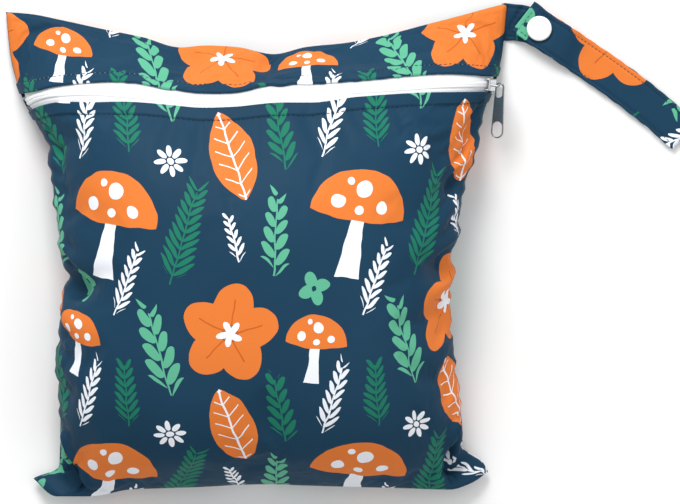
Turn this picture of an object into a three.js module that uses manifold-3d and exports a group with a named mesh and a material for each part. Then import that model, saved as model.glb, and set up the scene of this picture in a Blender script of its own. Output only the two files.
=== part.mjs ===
// A zip-top wet bag for cloth diapers, stuffed and zipped, lying on its back on a flat surface.
// The bag is a front panel, a top band above the zip and a back panel, sewn together round the
// edge. A white coil zip crosses the front, with a metal slider and pull at its right end. A
// folded wrist strap comes out of the right side seam near the top and closes with a snap.
// Millimetres. +X is across the bag to the strap's side, +Y up the bag to its top edge, and +Z up
// from the surface. The origin is on the surface, under the middle of the resting back.
import * as THREE from 'three';
import { mergeVertices } from 'three/addons/utils/BufferGeometryUtils.js';
import Module from 'manifold-3d';

const wasm = await Module();
wasm.setup();

// Driving sizes of the bag.
const bagWidth = 300; // across the flat top corners
const bagLength = 290; // up the bag as it lies, from its bottom edge to its top corners
const bagDepth = 92; // from the surface to the crown of the stuffed front
const clothLength = 320; // cloth from bottom seam to top seam, measured flat
const bandCloth = 53; // cloth from the top seam down to the middle of the zip
const clothWall = 1.2; // laminated cloth with its lining
const clearance = 0.3; // between pieces that touch

// Zip.
const zipOpening = 10.8; // between the two folded cloth edges at their ends; wider between them
const tapeHidden = 6; // tape under each folded edge
const tapeThickness = 1.0;
const coilWidth = 4.8;
const coilHeight = 1.7;
const sliderSetback = 5.5; // cloth from the right side seam to the middle of the slider
const sliderLength = 9.6;
const sliderWidth = 7.6;
const sliderPlate = 1.1;
const bridgeSpan = 8.0;
const bridgeBar = 1.4;
const bridgeClear = 4.6; // from the slider's top to the middle of the bridge's bar
const pullLength = 33.5;
const pullTopWidth = 5.6;
const pullEndWidth = 7.8;
const pullThickness = 1.2;
const pullDroop = 5; // degrees that the resting pull turns in towards the bag's side

// Wrist strap and its snap.
const strapWidth = 22;
const strapThickness = 1.8;
const strapReach = 126; // from the side seam to the fold at the far end
const strapRunGap = 0.6; // between the two runs where they lie on each other
const snapDiameter = 15;
const snapCapHeight = 2.0;
const snapBackHeight = 1.6;
const snapCoreDiameter = 11;
const snapCoreHeight = 4.0;
const snapPostDiameter = 2.4;

// A table as a list of rows, each with its columns by name.
const namedRows = (columns, rows) =>
  rows.map((row) => Object.fromEntries(columns.split(' ').map((column, i) => [column, row[i]])));

// Sections up the bag. along: share of the cloth from the bottom seam. forward: how far the
// middle of that row lies between the bottom edge and the zip. left, right: side seams, shares of
// half the width. seam, crown, back: heights, shares of the depth; a back under 0 is pressed flat.
// wrap: degrees that the cloth turns down to its side seams. round: how full its shoulders are.
const SECTIONS = namedRows('along forward left right seam crown back wrap round', [
  [0.000, 0.000, 0.795, 0.832, 0.045,  0.30,  0.30, 20, 0.70],
  [0.030, 0.011, 0.785, 0.830, 0.070,  0.44,  0.17, 30, 0.68],
  [0.070, 0.034, 0.782, 0.828, 0.130,  0.57,  0.04, 40, 0.64],
  [0.120, 0.076, 0.784, 0.822, 0.215,  0.71, -0.09, 48, 0.60],
  [0.180, 0.135, 0.788, 0.812, 0.290,  0.83, -0.20, 53, 0.58],
  [0.260, 0.228, 0.797, 0.791, 0.350,  0.93, -0.28, 56, 0.57],
  [0.370, 0.376, 0.782, 0.777, 0.385,  0.99, -0.31, 57, 0.57],
  [0.500, 0.556, 0.785, 0.800, 0.380,  1.00, -0.31, 57, 0.57],
  [0.620, 0.718, 0.808, 0.838, 0.335, 0.955, -0.27, 57, 0.58],
  [0.730, 0.868, 0.838, 0.893, 0.235,  0.84, -0.17, 61, 0.60],
  [0.790, 0.944, 0.878, 0.920, 0.160, 0.745, -0.08, 66, 0.62],
  [0.834, 1.000, 0.925, 0.953, 0.110, 0.660,  0.00, 69, 0.63],
  [0.875, 1.000, 0.958, 0.976, 0.070,  0.56,  0.05, 58, 0.70],
  [0.930, 1.000, 0.985, 0.992, 0.045,  0.39,  0.12, 34, 0.82],
  [1.000, 1.000, 1.000, 1.005, 0.035,  0.21,  0.21, 12, 0.90],
]);

// Lines across the bag: the top edge, the middle of the zip and the bottom edge, as shares of the
// length up from the origin. across: -1 at the left side seam and 1 at the right.
const ACROSS = namedRows('across top zip bottom', [
  [-1.00, 0.575, 0.386, -0.391],
  [-0.90, 0.571, 0.399, -0.427],
  [-0.78, 0.559, 0.406, -0.427],
  [-0.62, 0.541, 0.409, -0.413],
  [-0.45, 0.523, 0.403, -0.410],
  [-0.30, 0.502, 0.394, -0.408],
  [-0.20, 0.506, 0.390, -0.406],
  [-0.08, 0.503, 0.394, -0.403],
  [ 0.07, 0.488, 0.405, -0.402],
  [ 0.20, 0.503, 0.409, -0.404],
  [ 0.35, 0.511, 0.413, -0.406],
  [ 0.50, 0.526, 0.418, -0.408],
  [ 0.68, 0.550, 0.424, -0.410],
  [ 0.85, 0.573, 0.425, -0.413],
  [ 0.92, 0.583, 0.425, -0.402],
  [ 1.00, 0.593, 0.424, -0.377],
]);

// How far the two folded cloth edges stand from the middle of the zip, as shares of its opening at
// the seams. The load pulls them apart, less where the top edge is pinched.
const OPENING = namedRows('across below above', [
  [-1.00, 0.50, 0.50],
  [-0.90, 0.56, 0.34],
  [-0.78, 0.59, 0.50],
  [-0.62, 0.71, 0.78],
  [-0.45, 0.57, 1.10],
  [-0.30, 0.52, 1.02],
  [-0.20, 0.56, 0.81],
  [-0.08, 0.62, 0.69],
  [ 0.07, 0.67, 1.24],
  [ 0.20, 0.74, 0.98],
  [ 0.35, 0.56, 1.06],
  [ 0.50, 0.52, 1.06],
  [ 0.68, 0.56, 0.94],
  [ 0.85, 0.53, 0.67],
  [ 0.92, 0.50, 0.54],
  [ 1.00, 0.50, 0.50],
]);

// Folds of the side seams: out is how far the seam moves out, reach how far in that is felt,
// both shares of half the width. along and spread are shares of the cloth's length.
const SEAM_FOLDS = namedRows('side along out spread reach', [
  [-1, 0.000,  0.093, 0.014, 0.24],
  [-1, 0.262,  0.005, 0.040, 0.16],
  [-1, 0.448, -0.036, 0.026, 0.20],
  [-1, 0.745, -0.012, 0.022, 0.16],
  [ 1, 0.000,  0.093, 0.036, 0.24],
  [ 1, 0.428,  0.010, 0.024, 0.14],
  [ 1, 0.468, -0.018, 0.014, 0.16],
  [ 1, 0.510,  0.010, 0.018, 0.14],
  [ 1, 0.618, -0.006, 0.014, 0.14],
  [ 1, 0.672,  0.012, 0.022, 0.12],
  [ 1, 0.714,  0.007, 0.016, 0.12],
]);

// Creases that run in from the seams. face: 1 front, -1 back. across, along: where the crease
// starts. turn: degrees from straight across. length, width: shares of half the width. depth:
// share of the depth, minus for a ridge.
const CREASES = namedRows('face across along turn length width depth', [
  [ 1, -0.97, 0.448,  14, 0.46, 0.060,  0.085],
  [ 1, -0.97, 0.395, -20, 0.34, 0.070, -0.040],
  [ 1, -0.97, 0.640, -30, 0.50, 0.080,  0.050],
  [ 1, -0.97, 0.720, -62, 0.46, 0.070,  0.060],
  [ 1, -0.97, 0.230,  26, 0.36, 0.080,  0.036],
  [ 1, -0.94, 0.060,  58, 0.42, 0.060,  0.070],
  [ 1,  0.97, 0.469, 168, 0.42, 0.060,  0.070],
  [ 1,  0.97, 0.380, 196, 0.34, 0.070,  0.045],
  [ 1,  0.97, 0.640, 214, 0.50, 0.070,  0.070],
  [ 1,  0.97, 0.735, 238, 0.52, 0.080,  0.060],
  [ 1,  0.97, 0.230, 160, 0.34, 0.080,  0.036],
  [ 1,  0.94, 0.060, 122, 0.42, 0.060,  0.070],
  [ 1,  0.07, 0.985, 262, 0.30, 0.110,  0.045],
  [ 1, -0.30, 0.985, 278, 0.26, 0.090,  0.035],
  [-1, -0.97, 0.448,   6, 0.26, 0.060,  0.050],
  [-1,  0.97, 0.469, 176, 0.26, 0.060,  0.050],
  [-1, -0.97, 0.660, -16, 0.30, 0.070,  0.040],
  [-1,  0.97, 0.640, 196, 0.30, 0.070,  0.040],
]);

const SHOULDER_POWER = 2.4; // how flat the middle of each row is
const SEAM_FADE = 8; // creases die out this near a seam
const SEAM_RAMP = 2.4; // front and back part to twice the wall within this distance of a seam
const SEAM_TURNING = 0.6; // depth of the seam's solid edge, as a share of the first row
const CREASE_THICKNESS = 18; // creases are shallower where the bag is thinner, or lower, than this

const halfWidth = bagWidth / 2;
const zipAlong = 1 - bandCloth / clothLength;
const hiddenShare = tapeHidden / clothLength;

const blend = (a, b, share) => a + (b - a) * share;

// Reads a column of a table at a value of its key, with a smooth curve that never overshoots.
function readTable(table, key, column, value) {
  const last = table.length - 2;
  let i = 0;
  while (i < last && value > table[i + 1][key]) i += 1;
  const slope = (n) => (table[n + 1][column] - table[n][column]) / (table[n + 1][key] - table[n][key]);
  const tangent = (n) => {
    if (n === 0) return slope(0);
    if (n === table.length - 1) return slope(n - 1);
    const before = slope(n - 1);
    const after = slope(n);
    return before * after <= 0 ? 0 : (2 * before * after) / (before + after);
  };
  const step = table[i + 1][key] - table[i][key];
  const t = THREE.MathUtils.clamp((value - table[i][key]) / step, 0, 1);
  const t2 = t * t;
  const t3 = t2 * t;
  return (
    table[i][column] * (2 * t3 - 3 * t2 + 1) +
    table[i + 1][column] * (3 * t2 - 2 * t3) +
    tangent(i) * step * (t3 - 2 * t2 + t) +
    tangent(i + 1) * step * (t3 - t2)
  );
}

const section = (column, along) => readTable(SECTIONS, 'along', column, along);
const line = (column, across) => bagLength * readTable(ACROSS, 'across', column, across);

// Cloth between a point and the nearest seam.
function seamDistance(across, along) {
  return Math.min(halfWidth * (1 - Math.abs(across)), clothLength * along, clothLength * (1 - along));
}

// The stuffed form without its creases, as plan position and the heights of front and back.
function stuffedForm(across, along) {
  const fill = Math.pow(1 - Math.pow(Math.abs(across), SHOULDER_POWER), section('round', along));
  const wrap = THREE.MathUtils.degToRad(section('wrap', along));
  let x = (Math.sin(across * wrap) / Math.sin(wrap)) * halfWidth;
  x *= section(across < 0 ? 'left' : 'right', along);
  for (const fold of SEAM_FOLDS) {
    const inward = (halfWidth * (1 - fold.side * across)) / (fold.reach * halfWidth);
    const up = (along - fold.along) / fold.spread;
    x += fold.side * fold.out * halfWidth * Math.exp(-up * up - inward * inward);
  }
  const zipLine = line('zip', across);
  const y =
    along <= zipAlong
      ? blend(line('bottom', across), zipLine, blend(along / zipAlong, section('forward', along), fill))
      : blend(zipLine, line('top', across), (along - zipAlong) / (1 - zipAlong));
  const seam = section('seam', along) * bagDepth;
  let front = blend(seam, section('crown', along) * bagDepth, fill);
  let back = Math.max(0, blend(seam, section('back', along) * bagDepth, fill));
  const ramp = Math.min(1, seamDistance(across, along) / SEAM_RAMP);
  const half = clearance / 2 + (clothWall + clearance) * ramp;
  const middle = Math.max((front + back) / 2, half);
  front = Math.max(front, middle + half);
  back = Math.min(back, middle - half);
  return { x, y, front, back };
}

// A point of the outer cloth: face 1 is the front, face -1 the back.
function plainPoint(across, along, face) {
  const form = stuffedForm(across, along);
  return new THREE.Vector3(form.x, form.y, face > 0 ? form.front : form.back);
}

const STEP = 0.002; // share of the cloth over which a slope is measured

// The outward direction of a surface at a point, from its slopes.
function outwardOf(surface, across, along, face) {
  const a0 = Math.max(across - STEP, -1);
  const a1 = Math.min(across + STEP, 1);
  const v0 = Math.max(along - STEP, 0);
  const v1 = Math.min(along + STEP, 1);
  const alongX = surface(a1, along, face).sub(surface(a0, along, face));
  const alongY = surface(across, v1, face).sub(surface(across, v0, face));
  return alongX.cross(alongY).multiplyScalar(face).normalize();
}

// How deep the creases are at a point.
function creaseDepth(across, along, face) {
  let depth = 0;
  for (const crease of CREASES) {
    if (crease.face !== face) continue;
    const turn = THREE.MathUtils.degToRad(crease.turn);
    const dx = (across - crease.across) * halfWidth;
    const dy = (along - crease.along) * clothLength;
    const run = (dx * Math.cos(turn) + dy * Math.sin(turn)) / (crease.length * halfWidth);
    const off = (dy * Math.cos(turn) - dx * Math.sin(turn)) / (crease.width * halfWidth);
    if (run > 1 || run < -0.2) continue;
    depth += crease.depth * bagDepth * Math.exp(-off * off) * (run < 0 ? 1 : (1 - run) * (1 - run));
  }
  return depth;
}

function bagPoint(across, along, face) {
  const form = stuffedForm(across, along);
  const point = plainPoint(across, along, face);
  const fade = Math.min(1, seamDistance(across, along) / SEAM_FADE);
  const thick = Math.min(1, (form.front - form.back) / CREASE_THICKNESS);
  const raised = face > 0 ? 1 : Math.min(1, form.back / CREASE_THICKNESS);
  const depth = creaseDepth(across, along, face) * fade * thick * thick * raised;
  if (depth !== 0) point.addScaledVector(outwardOf(plainPoint, across, along, face), -depth);
  point.z = Math.max(point.z, 0);
  return point;
}

// A point at a height over the cloth's outer face, minus for inside the bag.
function overCloth(across, along, face, height) {
  return bagPoint(across, along, face).addScaledVector(outwardOf(bagPoint, across, along, face), height);
}

// A point of the cloth's inner side. Near a seam, where front and back are close, it is moved
// towards the other face and stops short of the middle between them.
function liningPoint(across, along, face) {
  const point = bagPoint(across, along, face);
  const direction = bagPoint(across, along, -face).sub(point);
  const thickness = direction.length();
  const inward = outwardOf(bagPoint, across, along, face).negate();
  const share = THREE.MathUtils.smoothstep(thickness, 3 * clothWall, 12 * clothWall);
  direction.normalize().lerp(inward, share).normalize();
  const depth = clothWall / Math.max(0.4, direction.dot(inward));
  return point.addScaledVector(direction, Math.min(depth, (thickness - clearance) / 2));
}

// The inner edge of a seam: from the seam towards the middle between the faces at the next row.
function insideSeam(seam, next, face) {
  const middle = bagPoint(...next, face).add(bagPoint(...next, -face)).multiplyScalar(0.5);
  middle.z += (face * clearance) / 2;
  return seam.clone().lerp(middle, SEAM_TURNING);
}

// Even steps squeezed towards both ends of a range, so that small folds near a seam are caught.
function squeezedSteps(from, to, count, squeeze) {
  const steps = [];
  for (let i = 0; i <= count; i += 1) {
    const t = (2 * i) / count - 1;
    const place = t + (squeeze * Math.sin(Math.PI * t)) / Math.PI;
    steps.push(i === 0 ? from : i === count ? to : from + ((to - from) * (place + 1)) / 2);
  }
  return steps;
}

// One closed body from two grids of points, an outer and an inner one, with a rim round the edge.
function shellGeometry(outer, inner) {
  const rows = outer.length;
  const columns = outer[0].length;
  const positions = [...outer.flat(), ...inner.flat()].flatMap((p) => [p.x, p.y, p.z]);
  const top = (r, c) => r * columns + c;
  const under = (r, c) => rows * columns + r * columns + c;
  const faces = [];
  const quad = (a, b, c, d) => faces.push(a, b, c, a, c, d);
  for (let r = 0; r < rows - 1; r += 1) {
    for (let c = 0; c < columns - 1; c += 1) {
      quad(top(r, c), top(r, c + 1), top(r + 1, c + 1), top(r + 1, c));
      quad(under(r, c), under(r + 1, c), under(r + 1, c + 1), under(r, c + 1));
    }
  }
  for (let c = 0; c < columns - 1; c += 1) {
    quad(top(0, c), under(0, c), under(0, c + 1), top(0, c + 1));
    quad(top(rows - 1, c), top(rows - 1, c + 1), under(rows - 1, c + 1), under(rows - 1, c));
  }
  for (let r = 0; r < rows - 1; r += 1) {
    quad(top(r, 0), top(r + 1, 0), under(r + 1, 0), under(r, 0));
    quad(top(r, columns - 1), under(r, columns - 1), under(r + 1, columns - 1), top(r + 1, columns - 1));
  }
  return closedGeometry(positions, faces);
}

// A closed mesh as a geometry, turned so that its faces point out.
function closedGeometry(positions, faces) {
  let volume = 0;
  const corner = (i) => new THREE.Vector3().fromArray(positions, 3 * i);
  for (let i = 0; i < faces.length; i += 3) {
    volume += corner(faces[i]).dot(corner(faces[i + 1]).cross(corner(faces[i + 2])));
  }
  if (volume < 0) faces.reverse();
  const geometry = new THREE.BufferGeometry();
  geometry.setAttribute('position', new THREE.Float32BufferAttribute(positions, 3));
  geometry.setIndex(faces);
  return geometry;
}

// A bar swept along stations, each a closed ring of points with as many corners as the others.
function sweptGeometry(rings) {
  const corners = rings[0].length;
  const positions = rings.flat().flatMap((p) => [p.x, p.y, p.z]);
  const faces = [];
  for (let r = 0; r < rings.length - 1; r += 1) {
    for (let c = 0; c < corners; c += 1) {
      const next = (c + 1) % corners;
      const a = r * corners + c;
      const b = r * corners + next;
      faces.push(a, b, b + corners, a, b + corners, a + corners);
    }
  }
  const end = (rings.length - 1) * corners;
  for (let c = 1; c < corners - 1; c += 1) {
    faces.push(0, c + 1, c, end, end + c, end + c + 1);
  }
  return closedGeometry(positions, faces);
}

function toSolid(geometry) {
  const bare = geometry.clone();
  bare.deleteAttribute('normal');
  bare.deleteAttribute('uv');
  const merged = mergeVertices(bare, 1e-4);
  return new wasm.Manifold(
    new wasm.Mesh({
      numProp: 3,
      vertProperties: new Float32Array(merged.attributes.position.array),
      triVerts: new Uint32Array(merged.index.array),
    }),
  );
}

function toGeometry(solid) {
  const mesh = solid.getMesh();
  const geometry = new THREE.BufferGeometry();
  geometry.setAttribute('position', new THREE.BufferAttribute(mesh.vertProperties, 3));
  geometry.setIndex(new THREE.BufferAttribute(mesh.triVerts, 1));
  return geometry;
}

// Materials.
const material = (color, roughness, metalness) =>
  new THREE.MeshStandardMaterial({ color, roughness, metalness });
const printedCloth = material(0x24445c, 0.75, 0);
const whiteZip = material(0xf2f2f0, 0.6, 0);
const zincAlloy = material(0x6f7880, 0.3, 1);
const whiteSnap = material(0xf7f7f5, 0.35, 0);

const bag = new THREE.Group();

function addPiece(name, geometry, finish, parent = bag) {
  const mesh = new THREE.Mesh(geometry, finish);
  mesh.name = name;
  parent.add(mesh);
  return mesh;
}

// Rows and columns of the cloth, the same on front and back so that the seams meet.
const COLUMNS = 34;
const acrossSteps = squeezedSteps(-1, 1, COLUMNS, 0.65);
const lowerEdge = zipAlong - zipOpening / 2 / clothLength;
const upperEdge = zipAlong + zipOpening / 2 / clothLength;
const frontRows = [...squeezedSteps(0, lowerEdge - hiddenShare, 22, 0.6), lowerEdge];
const bandRows = [upperEdge, ...squeezedSteps(upperEdge + hiddenShare, 1, 4, 0.3)];

// A row of the front, drawn back from the zip as far as the folded edges are there.
function drawnBack(across, along) {
  const open = (side) => (zipOpening / clothLength) * readTable(OPENING, 'across', side, across);
  if (along < zipAlong) return (along / lowerEdge) * (zipAlong - open('below'));
  return 1 - ((1 - along) / (1 - upperEdge)) * (1 - zipAlong - open('above'));
}

function clothPanel(rows, face) {
  const place = (across, along) => [across, face > 0 ? drawnBack(across, along) : along, face];
  const outer = rows.map((along) => acrossSteps.map((across) => bagPoint(...place(across, along))));
  const inner = rows.map((along, r) =>
    acrossSteps.map((across, c) => {
      const nextAcross = acrossSteps[THREE.MathUtils.clamp(c, 1, COLUMNS - 1)];
      const nextAlong = along === 0 ? rows[1] : along === 1 ? rows[r - 1] : along;
      return nextAcross === across && nextAlong === along
        ? liningPoint(...place(across, along))
        : insideSeam(outer[r][c], [nextAcross, nextAlong], face);
    }),
  );
  return shellGeometry(outer, inner);
}

addPiece('front_panel', clothPanel(frontRows, 1), printedCloth);
addPiece('top_band', clothPanel(bandRows, 1), printedCloth);
addPiece('back_panel', clothPanel([...frontRows, ...bandRows], -1), printedCloth);

// The slider's place on the zip: x along the zip to the right seam, y up the bag, z off the cloth.
const sliderAcross = 1 - sliderSetback / halfWidth;
const sliderOff = outwardOf(bagPoint, sliderAcross, zipAlong, 1);
const sliderAlong = bagPoint(sliderAcross + STEP, zipAlong, 1);
sliderAlong.sub(bagPoint(sliderAcross - STEP, zipAlong, 1));
sliderAlong.addScaledVector(sliderOff, -sliderAlong.dot(sliderOff)).normalize();
const sliderUp = sliderOff.clone().cross(sliderAlong);
const sliderFrame = new THREE.Matrix4().makeBasis(sliderAlong, sliderUp, sliderOff);
sliderFrame.setPosition(bagPoint(sliderAcross, zipAlong, 1));

// A block in the slider's frame, given by its lowest and highest corner.
function sliderBlock(low, high) {
  const size = high.map((value, i) => value - low[i]);
  const block = new THREE.BoxGeometry(...size);
  block.translate(low[0] + size[0] / 2, low[1] + size[1] / 2, low[2] + size[2] / 2);
  return toSolid(block);
}

const tapeTop = -(clothWall + clearance);
const coilBase = tapeTop + clearance;
const coilTop = coilBase + coilHeight;
const plateBase = coilTop + clearance;
const plateTop = plateBase + sliderPlate;
const underPlateTop = tapeTop - tapeThickness - 3 * clearance;
const wedgeHalf = 1.3;
const wedgeStart = 1.2;
const halfLength = sliderLength / 2;

// Room for the slider: its wedge parts the two tapes and ends the coil, and what curves up into
// its channel, over a ceiling, or down to its under plate is pressed flat.
function sliderRoom(ceiling) {
  const wedge = wedgeHalf + clearance;
  const side = sliderWidth / 2 + clearance;
  const end = halfLength + clearance;
  const reach = 3 * sliderLength;
  const rooms = [
    sliderBlock([wedgeStart - clearance, -wedge, -reach], [reach, wedge, sliderLength]),
    sliderBlock([-end, -side, ceiling], [end, side, sliderLength]),
    sliderBlock([-end, -side, -sliderLength], [end, side, underPlateTop + clearance]),
  ];
  return rooms.reduce((sum, room) => sum.add(room)).transform(sliderFrame.toArray());
}

// A zip tape from its hidden outer edge to the middle of the zip.
function zipTape(side) {
  const edge = side > 0 ? upperEdge : lowerEdge;
  const rows = [
    (across) => drawnBack(across, edge + side * hiddenShare),
    (across) => drawnBack(across, edge),
    () => zipAlong + (side * clearance) / 2 / clothLength,
  ];
  if (side > 0) rows.reverse(); // up the bag, as the panels' rows, so that the facets match
  const columns = acrossSteps.slice(1, -1);
  const layer = (height) =>
    rows.map((along) => columns.map((across) => overCloth(across, along(across), 1, height)));
  const strip = toSolid(shellGeometry(layer(tapeTop), layer(tapeTop - tapeThickness)));
  return toGeometry(strip.subtract(sliderRoom(tapeTop)));
}

addPiece('zip_tape_upper', zipTape(1), whiteZip);
addPiece('zip_tape_lower', zipTape(-1), whiteZip);

// The closed coil: a low ridge over the two tapes, with a groove down its middle.
function zipCoil() {
  const half = coilWidth / 2;
  const shoulder = coilBase + 0.6 * coilHeight;
  const profile = [
    [-half, coilBase],
    [-half, shoulder],
    [-0.6 * half, coilTop],
    [-0.15 * half, coilTop],
    [0, coilTop - 0.2 * coilHeight],
    [0.15 * half, coilTop],
    [0.6 * half, coilTop],
    [half, shoulder],
    [half, coilBase],
  ];
  const rings = acrossSteps.slice(1, -1).map((across) =>
    profile.map(([side, height]) => overCloth(across, zipAlong + side / clothLength, 1, height)),
  );
  return toGeometry(toSolid(sweptGeometry(rings)).subtract(sliderRoom(coilTop)));
}

addPiece('zip_coil', zipCoil(), whiteZip);

// The slider: two plates joined by a wedge, side flanges over the tapes, and a bridge for the pull.
function zipSlider() {
  const side = sliderWidth / 2;
  const flange = side - coilWidth / 2 - clearance;
  const leg = bridgeSpan / 2;
  const barMiddle = plateTop + bridgeClear;
  const barHalf = bridgeBar / 2;
  const blocks = [
    [[-halfLength, -side, plateBase], [halfLength, side, plateTop]],
    [[-halfLength, -side, tapeTop + clearance], [halfLength, flange - side, plateTop]],
    [[-halfLength, side - flange, tapeTop + clearance], [halfLength, side, plateTop]],
    [[wedgeStart, -wedgeHalf, underPlateTop - sliderPlate], [halfLength, wedgeHalf, plateTop]],
    [[-halfLength, -side, underPlateTop - sliderPlate], [halfLength, side, underPlateTop]],
    [[-leg, -barHalf, plateBase], [-leg + bridgeBar, barHalf, barMiddle + barHalf]],
    [[leg - bridgeBar, -barHalf, plateBase], [leg, barHalf, barMiddle + barHalf]],
    [[-leg, -barHalf, barMiddle - barHalf], [leg, barHalf, barMiddle + barHalf]],
  ];
  const body = blocks.map(([low, high]) => sliderBlock(low, high)).reduce((sum, block) => sum.add(block));
  return toGeometry(body);
}

const slider = new THREE.Group();
slider.applyMatrix4(sliderFrame);
bag.add(slider);
addPiece('zip_slider', zipSlider(), zincAlloy, slider);

// The pull: a tapered plate with a window that the bridge passes through and a finger hole.
function zipPull() {
  const topRadius = pullTopWidth / 2;
  const endRadius = pullEndWidth / 2;
  const topRim = 1.0;
  const sideRim = 0.9;
  const windowTop = bridgeBar / Math.SQRT2 + clearance;
  const topCentre = windowTop + topRim - topRadius;
  const endCentre = windowTop + topRim - pullLength + endRadius;
  const outline = new THREE.Shape();
  outline.absarc(0, topCentre, topRadius, 0, Math.PI, false);
  outline.absarc(0, endCentre, endRadius, Math.PI, 2 * Math.PI, false);
  const slot = (radius, high, low) => {
    const hole = new THREE.Path();
    hole.absarc(0, high - radius, radius, 0, Math.PI, false);
    hole.absarc(0, low + radius, radius, Math.PI, 2 * Math.PI, false);
    return hole;
  };
  const windowRadius = topRadius - sideRim;
  const fingerRadius = endRadius - 0.8;
  const fingerLow = endCentre - fingerRadius;
  outline.holes.push(slot(windowRadius, windowTop, windowTop - 8));
  outline.holes.push(slot(fingerRadius, fingerLow + 9.2, fingerLow));
  const plate = new THREE.ExtrudeGeometry(outline, {
    depth: pullThickness,
    bevelEnabled: false,
    curveSegments: 10,
  });
  plate.translate(0, 0, -pullThickness / 2);
  return plate;
}

// The pull lies square to the bridge's bar and points down the bag.
const pull = new THREE.Group();
pull.position.set(0, 0, plateTop + bridgeClear);
pull.rotation.set(THREE.MathUtils.degToRad(-pullDroop), 0, 0);
slider.add(pull);
const pullPlate = addPiece('zip_pull', zipPull(), zincAlloy, pull);
pullPlate.rotation.set(0, Math.PI / 2, 0);

// The wrist strap's middle line in plan from the side seam, as shares of its reach. The lower run
// starts at the seam; the upper run ends in the free end that carries the snap's cap.
const STRAP_LOWER = [
  { out: 0.000, up: 0.000 },
  { out: 0.050, up: -0.003 },
  { out: 0.100, up: -0.014 },
  { out: 0.160, up: -0.038 },
  { out: 0.239, up: -0.088 },
  { out: 0.383, up: -0.185 },
  { out: 0.530, up: -0.287 },
  { out: 0.675, up: -0.398 },
  { out: 0.830, up: -0.531 },
];
const STRAP_UPPER = [
  { out: 0.830, up: -0.531 },
  { out: 0.675, up: -0.398 },
  { out: 0.530, up: -0.287 },
  { out: 0.383, up: -0.184 },
  { out: 0.239, up: -0.087 },
  { out: 0.150, up: -0.029 },
  { out: 0.074, up: 0.030 },
];
const snapOut = 0.150; // the snap's distance out from the seam, share of the reach
const snapUp = -0.030;
const strapRootAlong = 0.962; // where the middle of the strap is sewn into the side seam

const lowerLift = snapBackHeight + clearance;
const coreBase = lowerLift + strapThickness + clearance;
const coreTop = coreBase + snapCoreHeight;
const upperLift = coreTop + clearance;
const capBase = upperLift + strapThickness + clearance;

// The strap starts just outside the furthest point of the seam that its end crosses.
function strapRoot() {
  const middle = bagPoint(1, strapRootAlong, 1);
  const reach = strapWidth / 2;
  let x = -Infinity;
  for (let along = 0.85; along <= 1; along += 0.005) {
    const point = bagPoint(1, along, 1);
    if (Math.abs(point.y - middle.y) <= reach + 2) x = Math.max(x, point.x);
  }
  return new THREE.Vector2(x + clearance, middle.y);
}

const root = strapRoot();
const planOf = (row) => new THREE.Vector3(root.x + row.out * strapReach, root.y + row.up * strapReach, 0);
const snapPlace = planOf({ out: snapOut, up: snapUp });

// Smoothly from one height to another as the distance passes from near to far.
function heightAway(distance, near, far, high, low) {
  return blend(high, low, THREE.MathUtils.smoothstep(distance, near, far));
}

function wristStrap() {
  const stations = [];
  const half = strapThickness / 2;
  const up = new THREE.Vector3(0, 0, 1);
  const flat = 0.75 * snapDiameter;
  const addRun = (rows, count, high, low, inside) => {
    const curve = new THREE.CatmullRomCurve3(rows.map(planOf), false, 'centripetal');
    for (let i = 0; i <= count; i += 1) {
      const point = curve.getPointAt(i / count);
      const away = point.distanceTo(snapPlace);
      const beyond = point.x > snapPlace.x;
      point.z = half + (beyond ? heightAway(away, flat, 3 * flat, high, low) : high);
      const ahead = curve.getTangentAt(i / count);
      const side = ahead.clone().cross(up).multiplyScalar(inside);
      stations.push({ point, side, inner: up.clone().multiplyScalar(inside) });
    }
    return curve;
  };
  const upperLow = strapThickness + strapRunGap;
  const lower = addRun(STRAP_LOWER, 26, lowerLift, 0, 1);
  const foldAhead = lower.getTangentAt(1);
  const foldRadius = (strapThickness + strapRunGap) / 2;
  const foldCentre = lower.getPointAt(1).setZ(half + foldRadius);
  for (const degrees of [-60, -30, 0, 30, 60]) {
    const turn = THREE.MathUtils.degToRad(degrees);
    const away = foldAhead.clone().multiplyScalar(Math.cos(turn)).addScaledVector(up, Math.sin(turn));
    stations.push({
      point: foldCentre.clone().addScaledVector(away, foldRadius),
      side: foldAhead.clone().cross(up),
      inner: away.clone().negate(),
    });
  }
  addRun(STRAP_UPPER, 26, upperLift, upperLow, -1);
  const rings = stations.map(({ point, side, inner }) =>
    [[-1, -1], [1, -1], [1, 1], [-1, 1]].map(([w, t]) =>
      point.clone().addScaledVector(side, (w * strapWidth) / 2).addScaledVector(inner, t * half),
    ),
  );
  const hole = new THREE.CylinderGeometry(1, 1, 4 * capBase, 12);
  hole.scale(snapPostDiameter / 2 + clearance, 1, snapPostDiameter / 2 + clearance);
  hole.rotateX(Math.PI / 2);
  hole.translate(snapPlace.x, snapPlace.y, 0);
  return toGeometry(toSolid(sweptGeometry(rings)).subtract(toSolid(hole)));
}

addPiece('wrist_strap', wristStrap(), printedCloth);

// A round snap part from its profile of radius and height, turned about an upright axis.
function turned(profile) {
  const geometry = new THREE.LatheGeometry(profile.map(([r, z]) => new THREE.Vector2(r, z)), 20);
  geometry.rotateX(Math.PI / 2);
  geometry.translate(snapPlace.x, snapPlace.y, 0);
  return toGeometry(toSolid(geometry));
}

const snapRadius = snapDiameter / 2;
const postRadius = snapPostDiameter / 2;
const coreRadius = snapCoreDiameter / 2;
const capTop = capBase + snapCapHeight;

// The white cap with its post, which passes through the strap's free end.
const capProfile = [
  [0, upperLift],
  [postRadius, upperLift],
  [postRadius, capBase],
  [snapRadius - 0.4, capBase],
  [snapRadius, capBase + 0.35 * snapCapHeight],
  [snapRadius - 0.6, capBase + 0.75 * snapCapHeight],
  [0.6 * snapRadius, capTop],
  [0, capTop],
];
addPiece('snap_cap', turned(capProfile), whiteSnap);

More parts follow.
